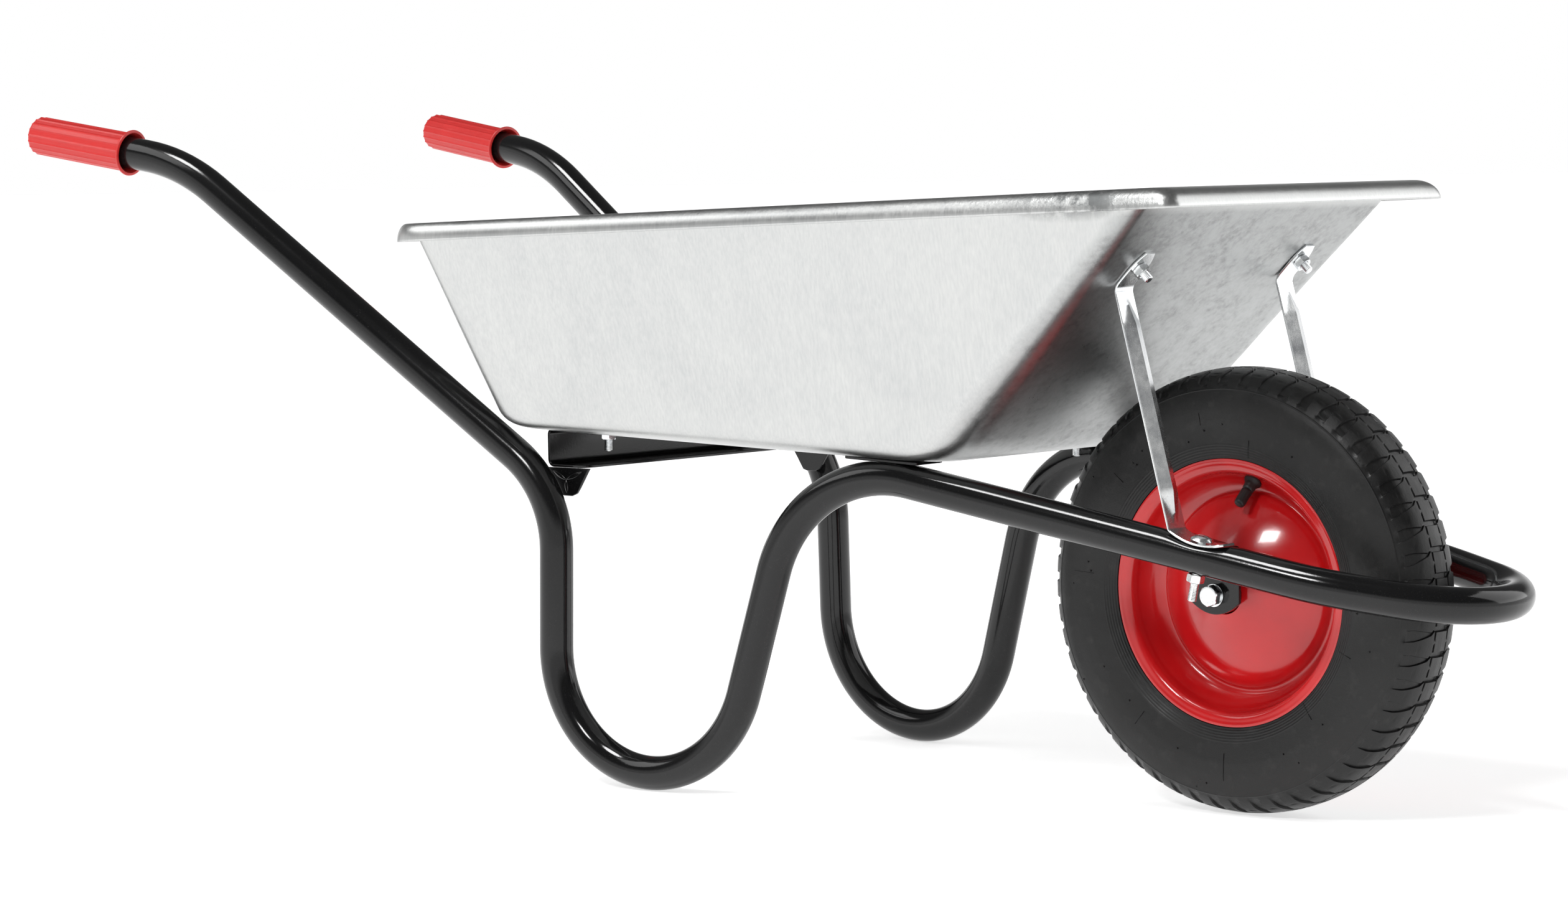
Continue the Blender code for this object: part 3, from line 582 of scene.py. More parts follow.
def grip_profile():
    """(radius, height, how far the ribs stand out), from inside the mouth to the closed end."""
    flange, top = GRIP_FLANGE_R, GRIP_FLANGE_T
    profile = [
        (TUBE_R + GAP, 0.012, 0), (TUBE_R + 0.0008, 0.008, 0), (TUBE_R + 0.0036, 0.0008, 0),
        (TUBE_R + 0.0042, 0.0, 0), (flange - 0.0009, 0.0, 0), (flange - 0.0002, 0.0004, 0),
        (flange, 0.0012, 0), (flange - 0.0003, top - 0.0003, 0), (flange - 0.0010, top, 0),
        (GRIP_R + 0.0012, top + 0.0003, 0.2), (GRIP_R + 0.0002, top + 0.0014, 1),
    ]
    profile += [(GRIP_R - GRIP_TAPER * k / 12, top + 0.003 + 0.112 * k / 12, 1) for k in range(13)]
    for k in range(1, 8):
        angle = pi / 2 * k / 8
        radius = GRIP_R - GRIP_TAPER - 0.0052 * (1 - cos(angle))
        profile.append((radius, GRIP_LENGTH - GRIP_DOME * (1 - sin(angle)), 1))
    return profile


def grips():
    """Cups pushed over the tube's ends: a thin flange with a funnel mouth, and raised ribs along the body."""
    per_rib = 8
    for name, side in SIDES:
        back = mirrored(HANDLE_END - HANDLE_BEND, side).normalized()
        mouth = on_side(HANDLE_END, side) - back * (GRIP_LENGTH - 0.0043)
        rings = []
        for radius, height, ribbed in grip_profile():
            ring = circle(radius, GRIP_RIBS * per_rib, height)
            for k, point in enumerate(ring):
                crest = (0.35, 1.0, 0.35)[k % per_rib] if k % per_rib < 3 else 0.0
                point.xy *= 1 + ribbed * crest * GRIP_RIB / radius
            rings.append(ring)
        rings = placed(rings, along(mouth, back))
        settled(name + "_ribbed_grip", lofted(rings), "grip_plastic", [name + "_grip"], 30)


# ---- tray ----


def floor_height(x):
    span = FLOOR_FRONT - FLOOR_REAR
    return FLOOR_REAR.z + span.z * (x - FLOOR_REAR.x) / span.x


def plan_ring(front, rear, radii, corner_steps=10):
    """A four-sided outline with rounded corners and divided sides, sloping from front to rear."""
    corners = [Vector((front.x, front.y, 0)), Vector((rear.x, rear.y, 0)),
               Vector((rear.x, -rear.y, 0)), Vector((front.x, -front.y, 0))]
    arcs = []
    for k, corner in enumerate(corners):
        radius = radii[0] if k in (0, 3) else radii[1]
        before, after = corners[k - 1], corners[(k + 1) % 4]
        turn = (corner - before).angle(after - corner)
        arcs.append(bend(before, corner, after, radius, turn / corner_steps * 1.001))
    points = []
    for k, arc in enumerate(arcs):
        points += arc
        gap = arcs[(k + 1) % 4][0] - arc[-1]
        points += [arc[-1] + gap * j / SIDE_CUTS[k] for j in range(1, SIDE_CUTS[k])]
    slope = (front.z - rear.z) / (front.x - rear.x)
    return [station(p.x, p.y, rear.z + slope * (p.x - rear.x)) for p in points]


def mixed(first, second, share):
    return [a.lerp(b, share) for a, b in zip(first, second)]


def lip_ring(share_out, drop):
    """The rim's outline moved outwards by a share of the lip's width, and down by the drop."""
    ahead, beside, behind = (share_out * width for width in LIP_WIDTHS)
    front = RIM_FRONT + Vector((ahead, beside, -drop))
    rear = RIM_REAR + Vector((-behind, beside, -drop))
    radii = [a + (b - a) * share_out for a, b in zip(RIM_CORNER_R, LIP_CORNER_R)]
    return plan_ring(front, rear, radii)


def dented(ring, depth):
    """The ring's points moved in and out by soft dents as deep as given, as in hand-thrown pressed sheet."""
    middle = sum(ring, Vector()) / len(ring)
    moved = []
    for p in ring:
        way = Vector((p.x - middle.x, p.y - middle.y, 0)).normalized()
        wave = sin(p.x * 23 + p.z * 31) + sin(p.y * 29 - p.z * 17 + 1.3)
        wave += sin((p.x + p.y) * 47 + p.z * 53)
        moved.append(p + way * depth * wave / 3)
    return moved


def tray():
    """The floor, the bend round it, the walls and the rolled lip, as rings from the middle outwards."""
    rings = []
    for inset in (0.120, 0.030, 0.004, 0.0):
        pull = FLOOR_BEND + inset
        radii = [max(0.006, r - FLOOR_BEND / 2 - inset * 0.5) for r in FLOOR_CORNER_R]
        low = floor_height(FLOOR_FRONT.x - pull) - FLOOR_FRONT.z
        high = floor_height(FLOOR_REAR.x + pull) - FLOOR_REAR.z
        front = FLOOR_FRONT + Vector((-pull, -pull, low))
        rings.append(plan_ring(front, FLOOR_REAR + Vector((pull, -pull, high)), radii))
    edge = plan_ring(FLOOR_FRONT, FLOOR_REAR, FLOOR_CORNER_R)
    rim = lip_ring(0, 0)
    start = FLOOR_BEND / PANEL_LENGTH
    floor, wall = rings.pop(), mixed(edge, rim, start)
    for k in range(9):
        rings.append(mixed(mixed(floor, edge, k / 8), mixed(edge, wall, k / 8), k / 8))
    for k in range(1, 15):
        share = start + (0.955 - start) * k / 14
        rings.append(dented(mixed(edge, rim, share), 0.0008 * sin(pi * k / 14)))
    for share, drop in ((0.012, 0.0052), (0.035, 0.0026), (0.085, 0.0010), (0.17, 0.0003), (0.30, 0.0)):
        rings.append(lip_ring(share, drop))
    for k in range(1, 15):
        angle = pi / 2 * k / 14
        rings.append(lip_ring(0.36 + 0.64 * sin(angle), LIP_DROP * (1 - cos(angle))))
    points, faces = lofted(rings)
    faces.pop()
    made = settled("pressed_tray", (points, faces), "galvanised_sheet", ["tray"], 50)
    lowest = min(made.data.polygons, key=lambda face: face.center.z)
    skin = made.modifiers.new("thickness", "SOLIDIFY")
    skin.thickness = TRAY_T
    skin.offset = -1 if lowest.normal.z < 0 else 1


def panel_way():
    return Vector((RIM_FRONT.x - FLOOR_FRONT.x, 0, RIM_FRONT.z - FLOOR_FRONT.z)).normalized()


def panel_out():
    up = panel_way()
    return Vector((up.z, 0, -up.x))


def panel_point(height):
    up = panel_way()
    return Vector((FLOOR_FRONT.x, 0, FLOOR_FRONT.z)) + up * (height - FLOOR_FRONT.z) / up.z


def floor_out():
    slope = (FLOOR_FRONT.z - FLOOR_REAR.z) / (FLOOR_FRONT.x - FLOOR_REAR.x)
    return Vector((slope, 0, -1)).normalized()


# ---- fasteners ----


def threaded(radius, start, length, sides=20):
    """Rings of a screw thread along +Z, with a chamfered end."""
    rings = []
    steps = round(length / THREAD_PITCH * 5)
    for k in range(steps + 1):
        height = start + length * k / steps
        ring = []
        for j in range(sides):
            phase = (height / THREAD_PITCH - j / sides) % 1.0
            depth = 0.00055 * abs(2 * phase - 1)
            angle = 2 * pi * j / sides
            reach = radius - depth
            ring.append(Vector((reach * cos(angle), reach * sin(angle), height)))
        rings.append(ring)
    return rings + [circle(radius - 0.0010, sides, start + length + 0.0006)]


def headed_bolt(name, under_head, way, length, plain):
    """A mushroom-headed bolt whose shank runs from under its head, threaded past its plain part."""
    outline = [(0.02, 1.0), (0.30, 0.985), (0.55, 0.90), (0.76, 0.70), (0.90, 0.44), (0.975, 0.20),
               (1.0, 0.06), (0.985, 0.0)]
    rings = [circle(HEAD_R * wide, 20, -HEAD_H * high) for wide, high in outline]
    rings += turned([(BOLT_R, 0), (BOLT_R, plain)], 20)
    rings += threaded(BOLT_R, plain + 0.0002, length - plain - 0.0008)
    place = along(under_head, way)
    return settled(name + "_screw", lofted(placed(rings, place)), "zinc_plate", [name]), place


def slotted(made, place, turn):
    """Cuts a screwdriver slot across a bolt's head, and keeps the piece's cut mesh."""
    wide, long = SLOT_HALF, HEAD_R + 0.002
    rings = [[Vector((x, y, z)) for x, y in ((-long, -wide), (long, -wide), (long, wide), (-long, wide))]
             for z in (-HEAD_H - 0.002, -HEAD_H + SLOT_DEPTH)]
    rings = placed(rings, place @ Matrix.Rotation(turn, 4, "Z"))
    cutter = linked(made.name + "_slot", closed_mesh(made.name + "_slot", *lofted(rings)))
    cut = made.modifiers.new("slot", "BOOLEAN")
    cut.operation = "DIFFERENCE"
    cut.object = cutter
    graph = bpy.context.evaluated_depsgraph_get()
    graph.update()
    mesh = bpy.data.meshes.new_from_object(made.evaluated_get(graph))
    made.modifiers.clear()
    made.data = mesh
    smoothed(mesh, SHARP)
    bpy.data.objects.remove(cutter)


def hex_nut(name, seat, way, flats, height, bore, turn=0.0):
    """A hexagon nut with both its faces' corners chamfered."""
    corner = flats / 2 / cos(pi / 6)
    hole = bore + GAP
    lines = [(0.93, 0.0), (0.985, 0.12), (1.0, 0.20), (1.0, 0.80), (0.985, 0.88), (0.93, 1.0)]
    rings = [circle(flats / 2, 48, height * high, 6, corner * wide) for wide, high in lines]
    wide = hole + 0.0006
    rings += turned([(wide, height), (hole, height - 0.0006), (hole, 0.0006), (wide, 0)], 48)
    rings = placed(rings, along(seat, way) @ Matrix.Rotation(turn, 4, "Z"))
    settled(name + "_hexagon", lofted(rings, loop=True), "zinc_plate", [name], 28)


def tray_fasteners():
    for name, side in SIDES:
        top = panel_point(BRACE_BOLT_HEIGHT)
        place = station(top.x, side * BRACE_TOP_HALF, top.z)
        fixings = [("brace_top", place, panel_out(), BRACE_T, TOP_BOLT_LENGTH)]
        for kind, (x, half), clamped, length in (("tray_rear", REAR_BOLT_AT, CROSS_T, REAR_BOLT_LENGTH),
                                                 ("tray_front", FRONT_BOLT_AT, LUG_T, FRONT_BOLT_LENGTH)):
            fixings.append((kind, station(x, side * half, floor_height(x)), floor_out(), clamped, length))
        for k, (kind, place, way, clamped, length) in enumerate(fixings):
            full = f"{name}_{kind}"
            headed_bolt(full + "_bolt", place - way * (TRAY_T + GAP), way, length, BOLT_PLAIN)
            turn = 0.4 + 0.9 * k + 0.5 * side
            hex_nut(full + "_nut", place + way * (clamped + 2 * GAP), way, NUT_FLATS, NUT_H, BOLT_R, turn)


# ---- braces ----


def brace_line():
    """The strap's middle line, from tip to foot, and where its straight run starts and how long it is."""
    land = panel_point(BRACE_BOLT_HEIGHT) + panel_out() * (BRACE_T / 2 + GAP)
    tip = land + panel_way() * BRACE_TIP
    knee = land - panel_way() * BRACE_LAND
    forward, up = run_direction(), run_up()
    base = run_point(FOOT_X) + up * (TUBE_R - FOOT_SAG + BRACE_T / 2)
    foot = []
    for k in range(-12, 13):
        reach = FOOT_HALF_LENGTH * k / 12
        foot.append(base + forward * reach + up * foot_rise(reach))
    heel = foot[0]
    upper = bend(tip, knee, heel, BRACE_KNEE_R, radians(8))
    lower = bend(knee, heel, foot[1], BRACE_HEEL_R, radians(12))
    landing = [tip.lerp(upper[0], k / 6) for k in range(6)]
    count = round((lower[0] - upper[-1]).length / BRACE_STEP)
    middle = [upper[-1].lerp(lower[0], k / count) for k in range(1, count)]
    return landing + upper + middle + lower + foot[2:], len(landing) + len(upper) - 1, len(middle)


def braces():
    """Straps with a crease pressed along the middle run, which fades out in a leaf shape at both ends."""
    line, run_start, run_count = brace_line()
    low = run_point(FOOT_X)
    rise = line[0].z - low.z
    last = len(line) - 1
    for name, side in SIDES:
        rings = []
        for k, point in enumerate(line):
            before, after = line[max(k - 1, 0)], line[min(k + 1, last)]
            way = Vector((after.x - before.x, 0, after.z - before.z)).normalized()
            square = Vector((way.z, 0, -way.x))
            half = low.y + (BRACE_TOP_HALF - low.y) * (point.z - low.z) / rise
            middle = station(point.x, side * half, point.z)
            along_run = min(k - run_start, run_start + run_count - k) * BRACE_STEP
            crease = min(1.0, max(0.0, (along_run - 0.002) / 0.030))
            narrow = 1.0
            if k < 6:
                narrow = (0.50, 0.74, 0.90, 0.97, 1.0, 1.0)[k]
            if k > last - 4:
                narrow = (0.66, 0.84, 0.94, 0.99)[last - k]
            ring = []
            for share, skin in strap_section():
                lift = BRACE_CREASE * crease * (1 - min(1.0, abs(share) / max(crease, 0.05)))
                across = Vector((0, share * BRACE_WIDTH / 2 * narrow, 0))
                ring.append(middle + across + square * (skin - lift))
            rings.append(ring)
        settled(name + "_creased_brace", lofted(rings), "zinc_plate", [name + "_brace"], 24)
        way = mirrored(run_up(), side)
        head = on_side(low, side) + way * (TUBE_R - FOOT_SAG + BRACE_T + foot_rise(HEAD_R) + 2 * GAP)
        bolt = headed_bolt(name + "_brace_foot_bolt", head, -way, FOOT_BOLT_LENGTH, FOOT_BOLT_PLAIN)
        slotted(*bolt, 0.35 if side > 0 else 1.75)
        seat = on_side(low, side) - way * (TUBE_R + GAP)
        hex_nut(name + "_brace_foot_nut", seat, -way, NUT_FLATS, NUT_H, BOLT_R, 0.45 * side)


def strap_section():
    """(share of the half width, height) round a strap's section, its long edges rounded."""
    half, edge_r = BRACE_T / 2, 0.0006
    inset = 1 - edge_r / (BRACE_WIDTH / 2)
    shares = [-inset, -0.75, -0.5, -0.25, 0.0, 0.25, 0.5, 0.75, inset]
    top = [(share, half) for share in shares]
    right = [(1.0, half - edge_r), (1.0, -half + edge_r)]
    under = [(share, -half) for share in reversed(shares)]
    left = [(-1.0, -half + edge_r), (-1.0, half - edge_r)]
    return top + right + under + left


# ---- cross member, gussets, lugs, axle brackets ----


def sheet_outline(points, thickness):
    """The closed outline of a bent sheet whose middle line is given in the XZ plane."""
    left, right = [], []
    for k, point in enumerate(points):
        ways = []
        if k > 0:
            ways.append((point - points[k - 1]).normalized())
        if k < len(points) - 1:
            ways.append((points[k + 1] - point).normalized())
        way = sum(ways, Vector((0, 0, 0))).normalized()
        square = Vector((-way.z, 0, way.x)) * thickness / 2 / ways[0].dot(way)
        left.append(point + square)
        right.append(point - square)
    return left + right[::-1]


def cross_member():
    """A channel open to the front, its bends rounded and its upper flange's outer corners cut round."""
    half, rear, front = CROSS_T / 2, CROSS_REAR, CROSS_FRONT
    bottom = floor_height(front) - CROSS_DEPTH
    top_front = Vector((front, 0, floor_height(front) - GAP - half))
    top_rear = Vector((rear, 0, floor_height(rear) - GAP - half))
    bottom_rear, bottom_front = Vector((rear, 0, bottom)), Vector((rear + CROSS_FOOT, 0, bottom))
    line = [top_front] + bend(top_front, top_rear, bottom_rear, CROSS_BEND_R, radians(15))
    line += bend(top_rear, bottom_rear, bottom_front, CROSS_BEND_R, radians(15)) + [bottom_front]
    corner = CROSS_CORNER_R
    reaches = [0.0, 0.0012, 0.0035, 0.007, 0.011, corner]
    rings = []
    for side, reach in [(-1, r) for r in reaches] + [(1, r) for r in reversed(reaches)]:
        trimmed = [p.copy() for p in line]
        cut_back = corner - sqrt(corner ** 2 - (corner - reach) ** 2)
        trimmed[0].x -= cut_back
        trimmed[-1].x -= cut_back * 0.4
        y = side * (CROSS_HALF - reach)
        rings.append([station(p.x, y, p.z) for p in sheet_outline(trimmed, CROSS_T)])
    softened(settled("rounded_cross_member", lofted(rings), "frame_paint", ["rear_cross_member"]), 0.0005)
    gussets(bottom - half - GAP)


def gussets(top):
    """Plates under the cross member's ends, each with three ribs that meet in a star."""
    rear, front, face = CROSS_REAR, CROSS_REAR + CROSS_FOOT, CROSS_HALF - 0.001
    outline = [
        (rear - 0.004, top), (front + 0.004, top), (front - 0.008, top - 0.018),
        (front - 0.012, top - 0.0235), (front - 0.018, top - 0.026), (front - 0.028, top - 0.026),
        (front - 0.033, top - 0.0245), (rear + 0.004, top - 0.012),
    ]
    hub = Vector((rear + 0.020, 0, top - 0.011))
    ends = ((0.004, 0.003), (0.040, 0.003), (0.021, 0.0235))
    for name, side in SIDES:
        rings = [[station(x, side * y, z) for x, z in outline] for y in (face - GUSSET_T, face)]
        made = settled(name + "_plate_gusset", lofted(rings), "frame_paint", [name + "_gusset"])
        softened(made, 0.0008, 3)
        for k, (x, drop) in enumerate(ends):
            rib(f"{name}_gusset_rib_{k + 1}", hub, Vector((rear + x, 0, top - drop)), side * face, side)


def rib(name, start, end, face, side):
    """A low half-round rib raised from a plate's outer face."""
    way = (end - start).normalized()
    across = Vector((-way.z, 0, way.x))
    rings = []
    for k in range(9):
        point = start.lerp(end, k / 8)
        fade = sin(pi * min(1.0, (k + 0.3) / 4 if k < 4 else (8.3 - k) / 4) / 2)
        ring = []
        for j in range(10):
            angle = pi * j / 9
            spot = point + across * 0.0022 * fade * cos(angle)
            ring.append(station(spot.x, face + side * (0.0014 * fade * sin(angle) - 0.0002), spot.z))
        rings.append(ring)
    settled(name, lofted(rings), "frame_paint")


def lugs():
    """Plates on the tube under the front of the tray's floor, more rounded at their inner corners."""
    rear, ahead = LUG_X - LUG_HALF_LENGTH, LUG_X + LUG_HALF_LENGTH
    wide, tight = LUG_CORNER_R
    corners = [
        (rear + wide, LUG_INNER + wide, wide, 180), (ahead - wide, LUG_INNER + wide, wide, 270),
        (ahead - tight, LUG_OUTER - tight, tight, 0), (rear + tight, LUG_OUTER - tight, tight, 90),
    ]
    outline = []
    for x, y, reach, first in corners:
        for k in range(7):
            angle = radians(first + 15 * k)
            outline.append((x + reach * cos(angle), y + reach * sin(angle)))
    for name, side in SIDES:
        rings = []
        for drop in (GAP, GAP + LUG_T):
            rings.append([station(x, side * y, floor_height(x) - drop) for x, y in outline])
        softened(settled(name + "_rounded_lug", lofted(rings), "frame_paint", [name + "_tray_lug"]), 0.0005)


def axle_brackets():
    """Plates hanging inside the tube, rounded below, their tops turned outwards to meet the tube."""
    inner, face = BRACKET_FACE, BRACKET_FACE + BRACKET_T
    arc = [(sin(a), 1 - cos(a)) for a in (0, 0.4, 0.8, 1.2, pi / 2)]
    tube_reach = TUBE_R / cos(atan2(-run_direction().y, run_direction().x))
    for name, side in SIDES:
        rings = []
        for k in range(25):
            x = BRACKET_HALF * (k / 12 - 1)
            tube = run_point(x)
            flank = tube.y - tube_reach - 2 * GAP
            low = WHEEL_R - BRACKET_DROP + (BRACKET_DROP - 0.006) * (x / BRACKET_HALF) ** 2
            top = tube.z + BRACKET_T / 2
            section = [(inner, low), (face, low)]
            section += [(face + 0.003 * rest, top - BRACKET_T - 0.003 * (1 - gone)) for gone, rest in arc]
            section += [(flank, top - BRACKET_T), (flank, top)]
            section += [(inner + 0.006 * (1 - gone), top - 0.006 * rest) for gone, rest in arc]
            rings.append([station(x, side * y, z) for y, z in section])
        made = settled(name + "_bracket_plate", lofted(rings), "frame_paint", [name + "_axle_bracket"])
        softened(made, 0.0006)


def axle():
    """The bolt through the wheel, with its nut on the left and a washer pair on each bracket."""
    stack = BRACKET_FACE + BRACKET_T + GAP
    outer, thick, bore = WASHER_R, WASHER_T, SLEEVE_BORE_R
    lines = [(outer - 0.0003, 0.0), (outer, 0.0003), (outer, thick * 0.47), (outer - 0.0005, thick * 0.5),
             (outer - 0.0016, thick * 0.53), (outer - 0.0014, thick - 0.0002), (outer - 0.0018, thick),
             (bore, thick), (bore, 0.0)]
    for name, side in SIDES:
        rings = placed([circle(radius, 40, stack + height) for radius, height in lines],
                       along(AXLE, Vector((0, side, 0))))
        settled(name + "_axle_washers", lofted(rings, loop=True), "zinc_plate", [name + "_axle_washer"], 25)
    seat = stack + thick + GAP
    corner = AXLE_FLATS / 2 / cos(pi / 6)
    lines = [(0.12, 0.00015), (0.60, 0.0001), (0.80, 0.0), (0.855, 0.0002), (0.94, 0.0010), (0.985, 0.0019),
             (1.0, 0.0028)]
    rings = [circle(AXLE_FLATS / 2, 48, high - seat - AXLE_HEAD_H, 6, corner * wide) for wide, high in lines]
    rings += [circle(AXLE_FLATS / 2, 48, -seat, 6)]
    rings += [circle(AXLE_BOLT_R, 48, height) for height in (-seat, seat - 0.004)]
    rings += threaded(AXLE_BOLT_R, seat - 0.0038, AXLE_NUT_H + 0.0072, 48)
    left = Vector((0, 1, 0))
    rings = placed(rings, along(AXLE, left) @ Matrix.Rotation(radians(12), 4, "Z"))
    settled("hexagon_axle_bolt", lofted(rings), "zinc_plate", ["axle_bolt"], 25)
    hex_nut("axle_nut", AXLE + left * seat, left, AXLE_FLATS, AXLE_NUT_H, AXLE_BOLT_R, 0.3)


# ---- wheel ----


def on_wheel(radius, angle, half):
    """The point at a radius and an angle round the axle, at a distance from the wheel's middle plane."""
    return AXLE + Vector((radius * cos(angle), half, radius * sin(angle)))


def ring_round(radius, half, steps):
    return [on_wheel(radius, 2 * pi * k / steps, half) for k in range(steps)]


def tyre_section():
    """Half the tyre's skin, from the tread's middle to the bead: its points, and how far along each is."""
    knots = [(-0.004, 0.19235), (0.0, WHEEL_R), (0.0140, 0.1913), (0.0265, 0.1868), (0.0370, 0.1750),
             (0.0408, 0.1590), (0.0407, 0.1420), (0.0388, 0.1280), (0.0362, 0.1190), (0.0347, 0.1160)]
    fine = smooth_line([Vector((half, 0, radius)) for half, radius in knots], 0.0004)
    fine = [p for p in fine if p.x >= 0]
    fine[0].x = 0.0
    gone = [0.0]
    for a, b in zip(fine, fine[1:]):
        gone.append(gone[-1] + (b - a).length)
    return fine, gone


def section_at(fine, gone, distance):
    """The skin's point at a distance along it, and the direction that faces out of it there."""
    k = max(1, next((i for i, g in enumerate(gone) if g >= distance), len(gone) - 1))
    share = (distance - gone[k - 1]) / (gone[k] - gone[k - 1])
    point = fine[k - 1].lerp(fine[k], min(1.0, share))
    way = (fine[min(k + 2, len(fine) - 1)] - fine[max(k - 3, 0)]).normalized()
    return point, Vector((-way.z, 0, way.x))


def zigzag(distance):
    """How far a cross groove has moved round the tyre, in tread pitches, at a distance from the middle."""
    knots = [(0, 0), (0.0104, 0.0), (0.0145, 0.17), (0.022, 0.20), (0.033, 0.26), (0.045, 0.34)]
    for (a, low), (b, high) in zip(knots, knots[1:]):
        if distance <= b:
            return low + (high - low) * (distance - a) / (b - a)
    return knots[-1][1]


def tyre():
    """Blocks parted by zigzag cross grooves, two grooves round the middle, and fine rings by the bead."""
    fine, gone = tyre_section()
    end = gone[-1]
    rings_from = end - 0.0135
    rows = [0.0, 0.0025, 0.0050, 0.0072, 0.0080, 0.0084, 0.0100, 0.0104]
    rows += [0.0115, 0.0130, 0.0145, 0.0160, 0.0175]
    rows += [0.0190 + 0.0012 * k for k in range(19)]
    rows += [0.0425, 0.0431, 0.0437, 0.0443, 0.0450, 0.0475]
    rows += [0.0505 + 0.0030 * k for k in range(9)]
    rows = [r for r in rows if r < rings_from - 0.001]
    rows += [rings_from + (end - rings_from) * k / 30 for k in range(31)]
    rings = []
    for distance, side in [(row, -1) for row in rows[:0:-1]] + [(row, 1) for row in rows]:
        point, out = section_at(fine, gone, distance)
        fade = min(1.0, max(0.0, (0.0425 - distance) / 0.010))
        half_groove = 0.040 + 0.165 * min(1.0, max(0.0, (distance - 0.0145) / 0.017))
        if distance < 0.0084:
            half_groove = 0.085
        depth = (0.0024 if distance < 0.0084 else 0.0017) * fade
        turn = side * zigzag(distance) * min(1.0, max(0.0, (0.060 - distance) / 0.02))
        columns = [-half_groove - 0.03, -half_groove, half_groove, half_groove + 0.035]
        columns += [0.34, 0.47, 0.53, 0.68]
        ring = []
        for pitch in range(TREAD_PITCHES):
            for column, share in enumerate(columns):
                drop = depth if column in (1, 2) else 0.0
                if 0.0083 < distance < 0.0101 and column not in (5, 6):
                    drop = max(drop, 0.0018)
                if column in (5, 6) and abs(distance - 0.0262) < 0.0010:
                    drop = 0.0007
                drop -= 0.00045 * max(0.0, 1 - abs(distance - 0.0437) / 0.0007)
                if distance > rings_from:
                    drop -= 0.00022 * (1 - cos((distance - rings_from) / 0.0024 * 2 * pi)) - 0.0001
                spot = point - out * drop
                angle = 2 * pi * (pitch + share + turn) / TREAD_PITCHES
                ring.append(on_wheel(min(spot.z, WHEEL_R), angle, side * min(spot.x, TYRE_HALF)))
        rings.append(ring)
    inside = [(0.0315, 0.1156), (0.0313, 0.1085), (0.0270, 0.1043), (0.0210, 0.1043), (0.0205, 0.1090),
              (0.0310, 0.1250), (0.0350, 0.1550), (0.0270, 0.1760), (0.0120, 0.1840), (0.0, 0.1855)]
    for half, radius in inside + [(-half, radius) for half, radius in inside[-2::-1]]:
        rings.append(ring_round(radius, half, 8 * TREAD_PITCHES))
    settled("moulded_tyre", lofted(rings, loop=True), "tyre_rubber", ["tyre"], 40, "wheel")
    tyre_marks(fine, gone, end)


def tyre_marks(fine, gone, end):
    """Hairline mould joints across the sidewalls, and the nibs left by the mould's vents."""
    chance = random.Random(5)
    points, faces = [], []

    def add(rings):
        more, more_faces = lofted(rings)
        base = len(points)
        points.extend(more)
        faces.extend(tuple(base + i for i in face) for face in more_faces)

    for side in (1, -1):
        for k in range(11):
            angle = 2 * pi * (k + 0.5 * chance.random()) / 11
            start = end - 0.012 - 0.034 * chance.random() ** 2
            stop = min(end - 0.001, start + 0.010 + 0.016 * chance.random())
            rings = []
            for j in range(9):
                point, out = section_at(fine, gone, start + (stop - start) * j / 8)
                wide = 0.0003 * sin(pi * (j + 0.5) / 9) + 0.00008
                ring = []
                for across, lift in ((-1, -0.0003), (-0.5, 0.00045), (0.5, 0.00045), (1, -0.0003)):
                    spot = point + out * lift
                    ring.append(on_wheel(spot.z, angle + across * wide / spot.z, side * spot.x))
                rings.append(ring)
            add(rings)
        for k in range(22):
            angle = 2 * pi * chance.random()
            distance = 0.046 + (end - 0.062) * chance.random()
            point, out = section_at(fine, gone, distance)
            way = Vector((out.z * cos(angle), side * out.x, out.z * sin(angle)))
            tall = 0.0006 + 0.0006 * chance.random()
            shape = [(0.0010, -0.0004), (0.0008, tall * 0.4), (0.0005, tall), (0.0001, tall * 1.05)]
            place = along(on_wheel(point.z, angle, side * point.x), way.normalized())
            add(placed(turned(shape, 8), place))
    settled("tyre_mould_marks", (points, faces), "tyre_rubber", body="wheel")


def rims():
    """Two pressed dishes back to back: rolled lip, bead seat, well, a pressed ring, and a dome to the hub."""
    shell = [(0.1150, 0.0336), (0.1138, 0.0339), (0.1115, 0.0331), (0.1078, 0.0322), (0.1048, 0.0298),
             (0.1036, 0.0255), (0.1028, 0.0205), (0.1010, 0.0155), (0.0975, 0.0095), (0.0930, 0.0048),
             (0.0895, 0.0026), (0.0868, 0.0018), (0.0846, 0.0026), (0.0822, 0.0062), (0.0785, 0.0098),
             (0.0700, 0.0158), (0.0590, 0.0222), (0.0480, 0.0276), (0.0370, 0.0322), (0.0280, 0.0356),
             (0.0215, 0.0382), (0.0175, 0.0396)]
    line = smooth_line([Vector((radius, 0, half)) for radius, half in shell], 0.0012)
    for name, side in SIDES:
        rings = [ring_round(p.x, side * p.z, RIM_STEPS) for p in sheet_outline(line, RIM_T)]
        shape = lofted(rings, loop=True)
        settled(name + "_rim_pressing", shape, "rim_paint", [name + "_rim_half"], 60, "wheel")


def valve_place():
    """The valve's placing: on the right rim half's slope, leaning in towards the hub."""
    onto_wheel = Matrix.Translation(AXLE) @ Matrix.Rotation(VALVE_TURN, 4, "Y") @ Matrix(
        ((0, -1, 0, 0), (0, 0, -1, 0), (1, 0, 0, 0), (0, 0, 0, 1)))
    return onto_wheel @ along(VALVE_SEAT, VALVE_WAY.normalized())


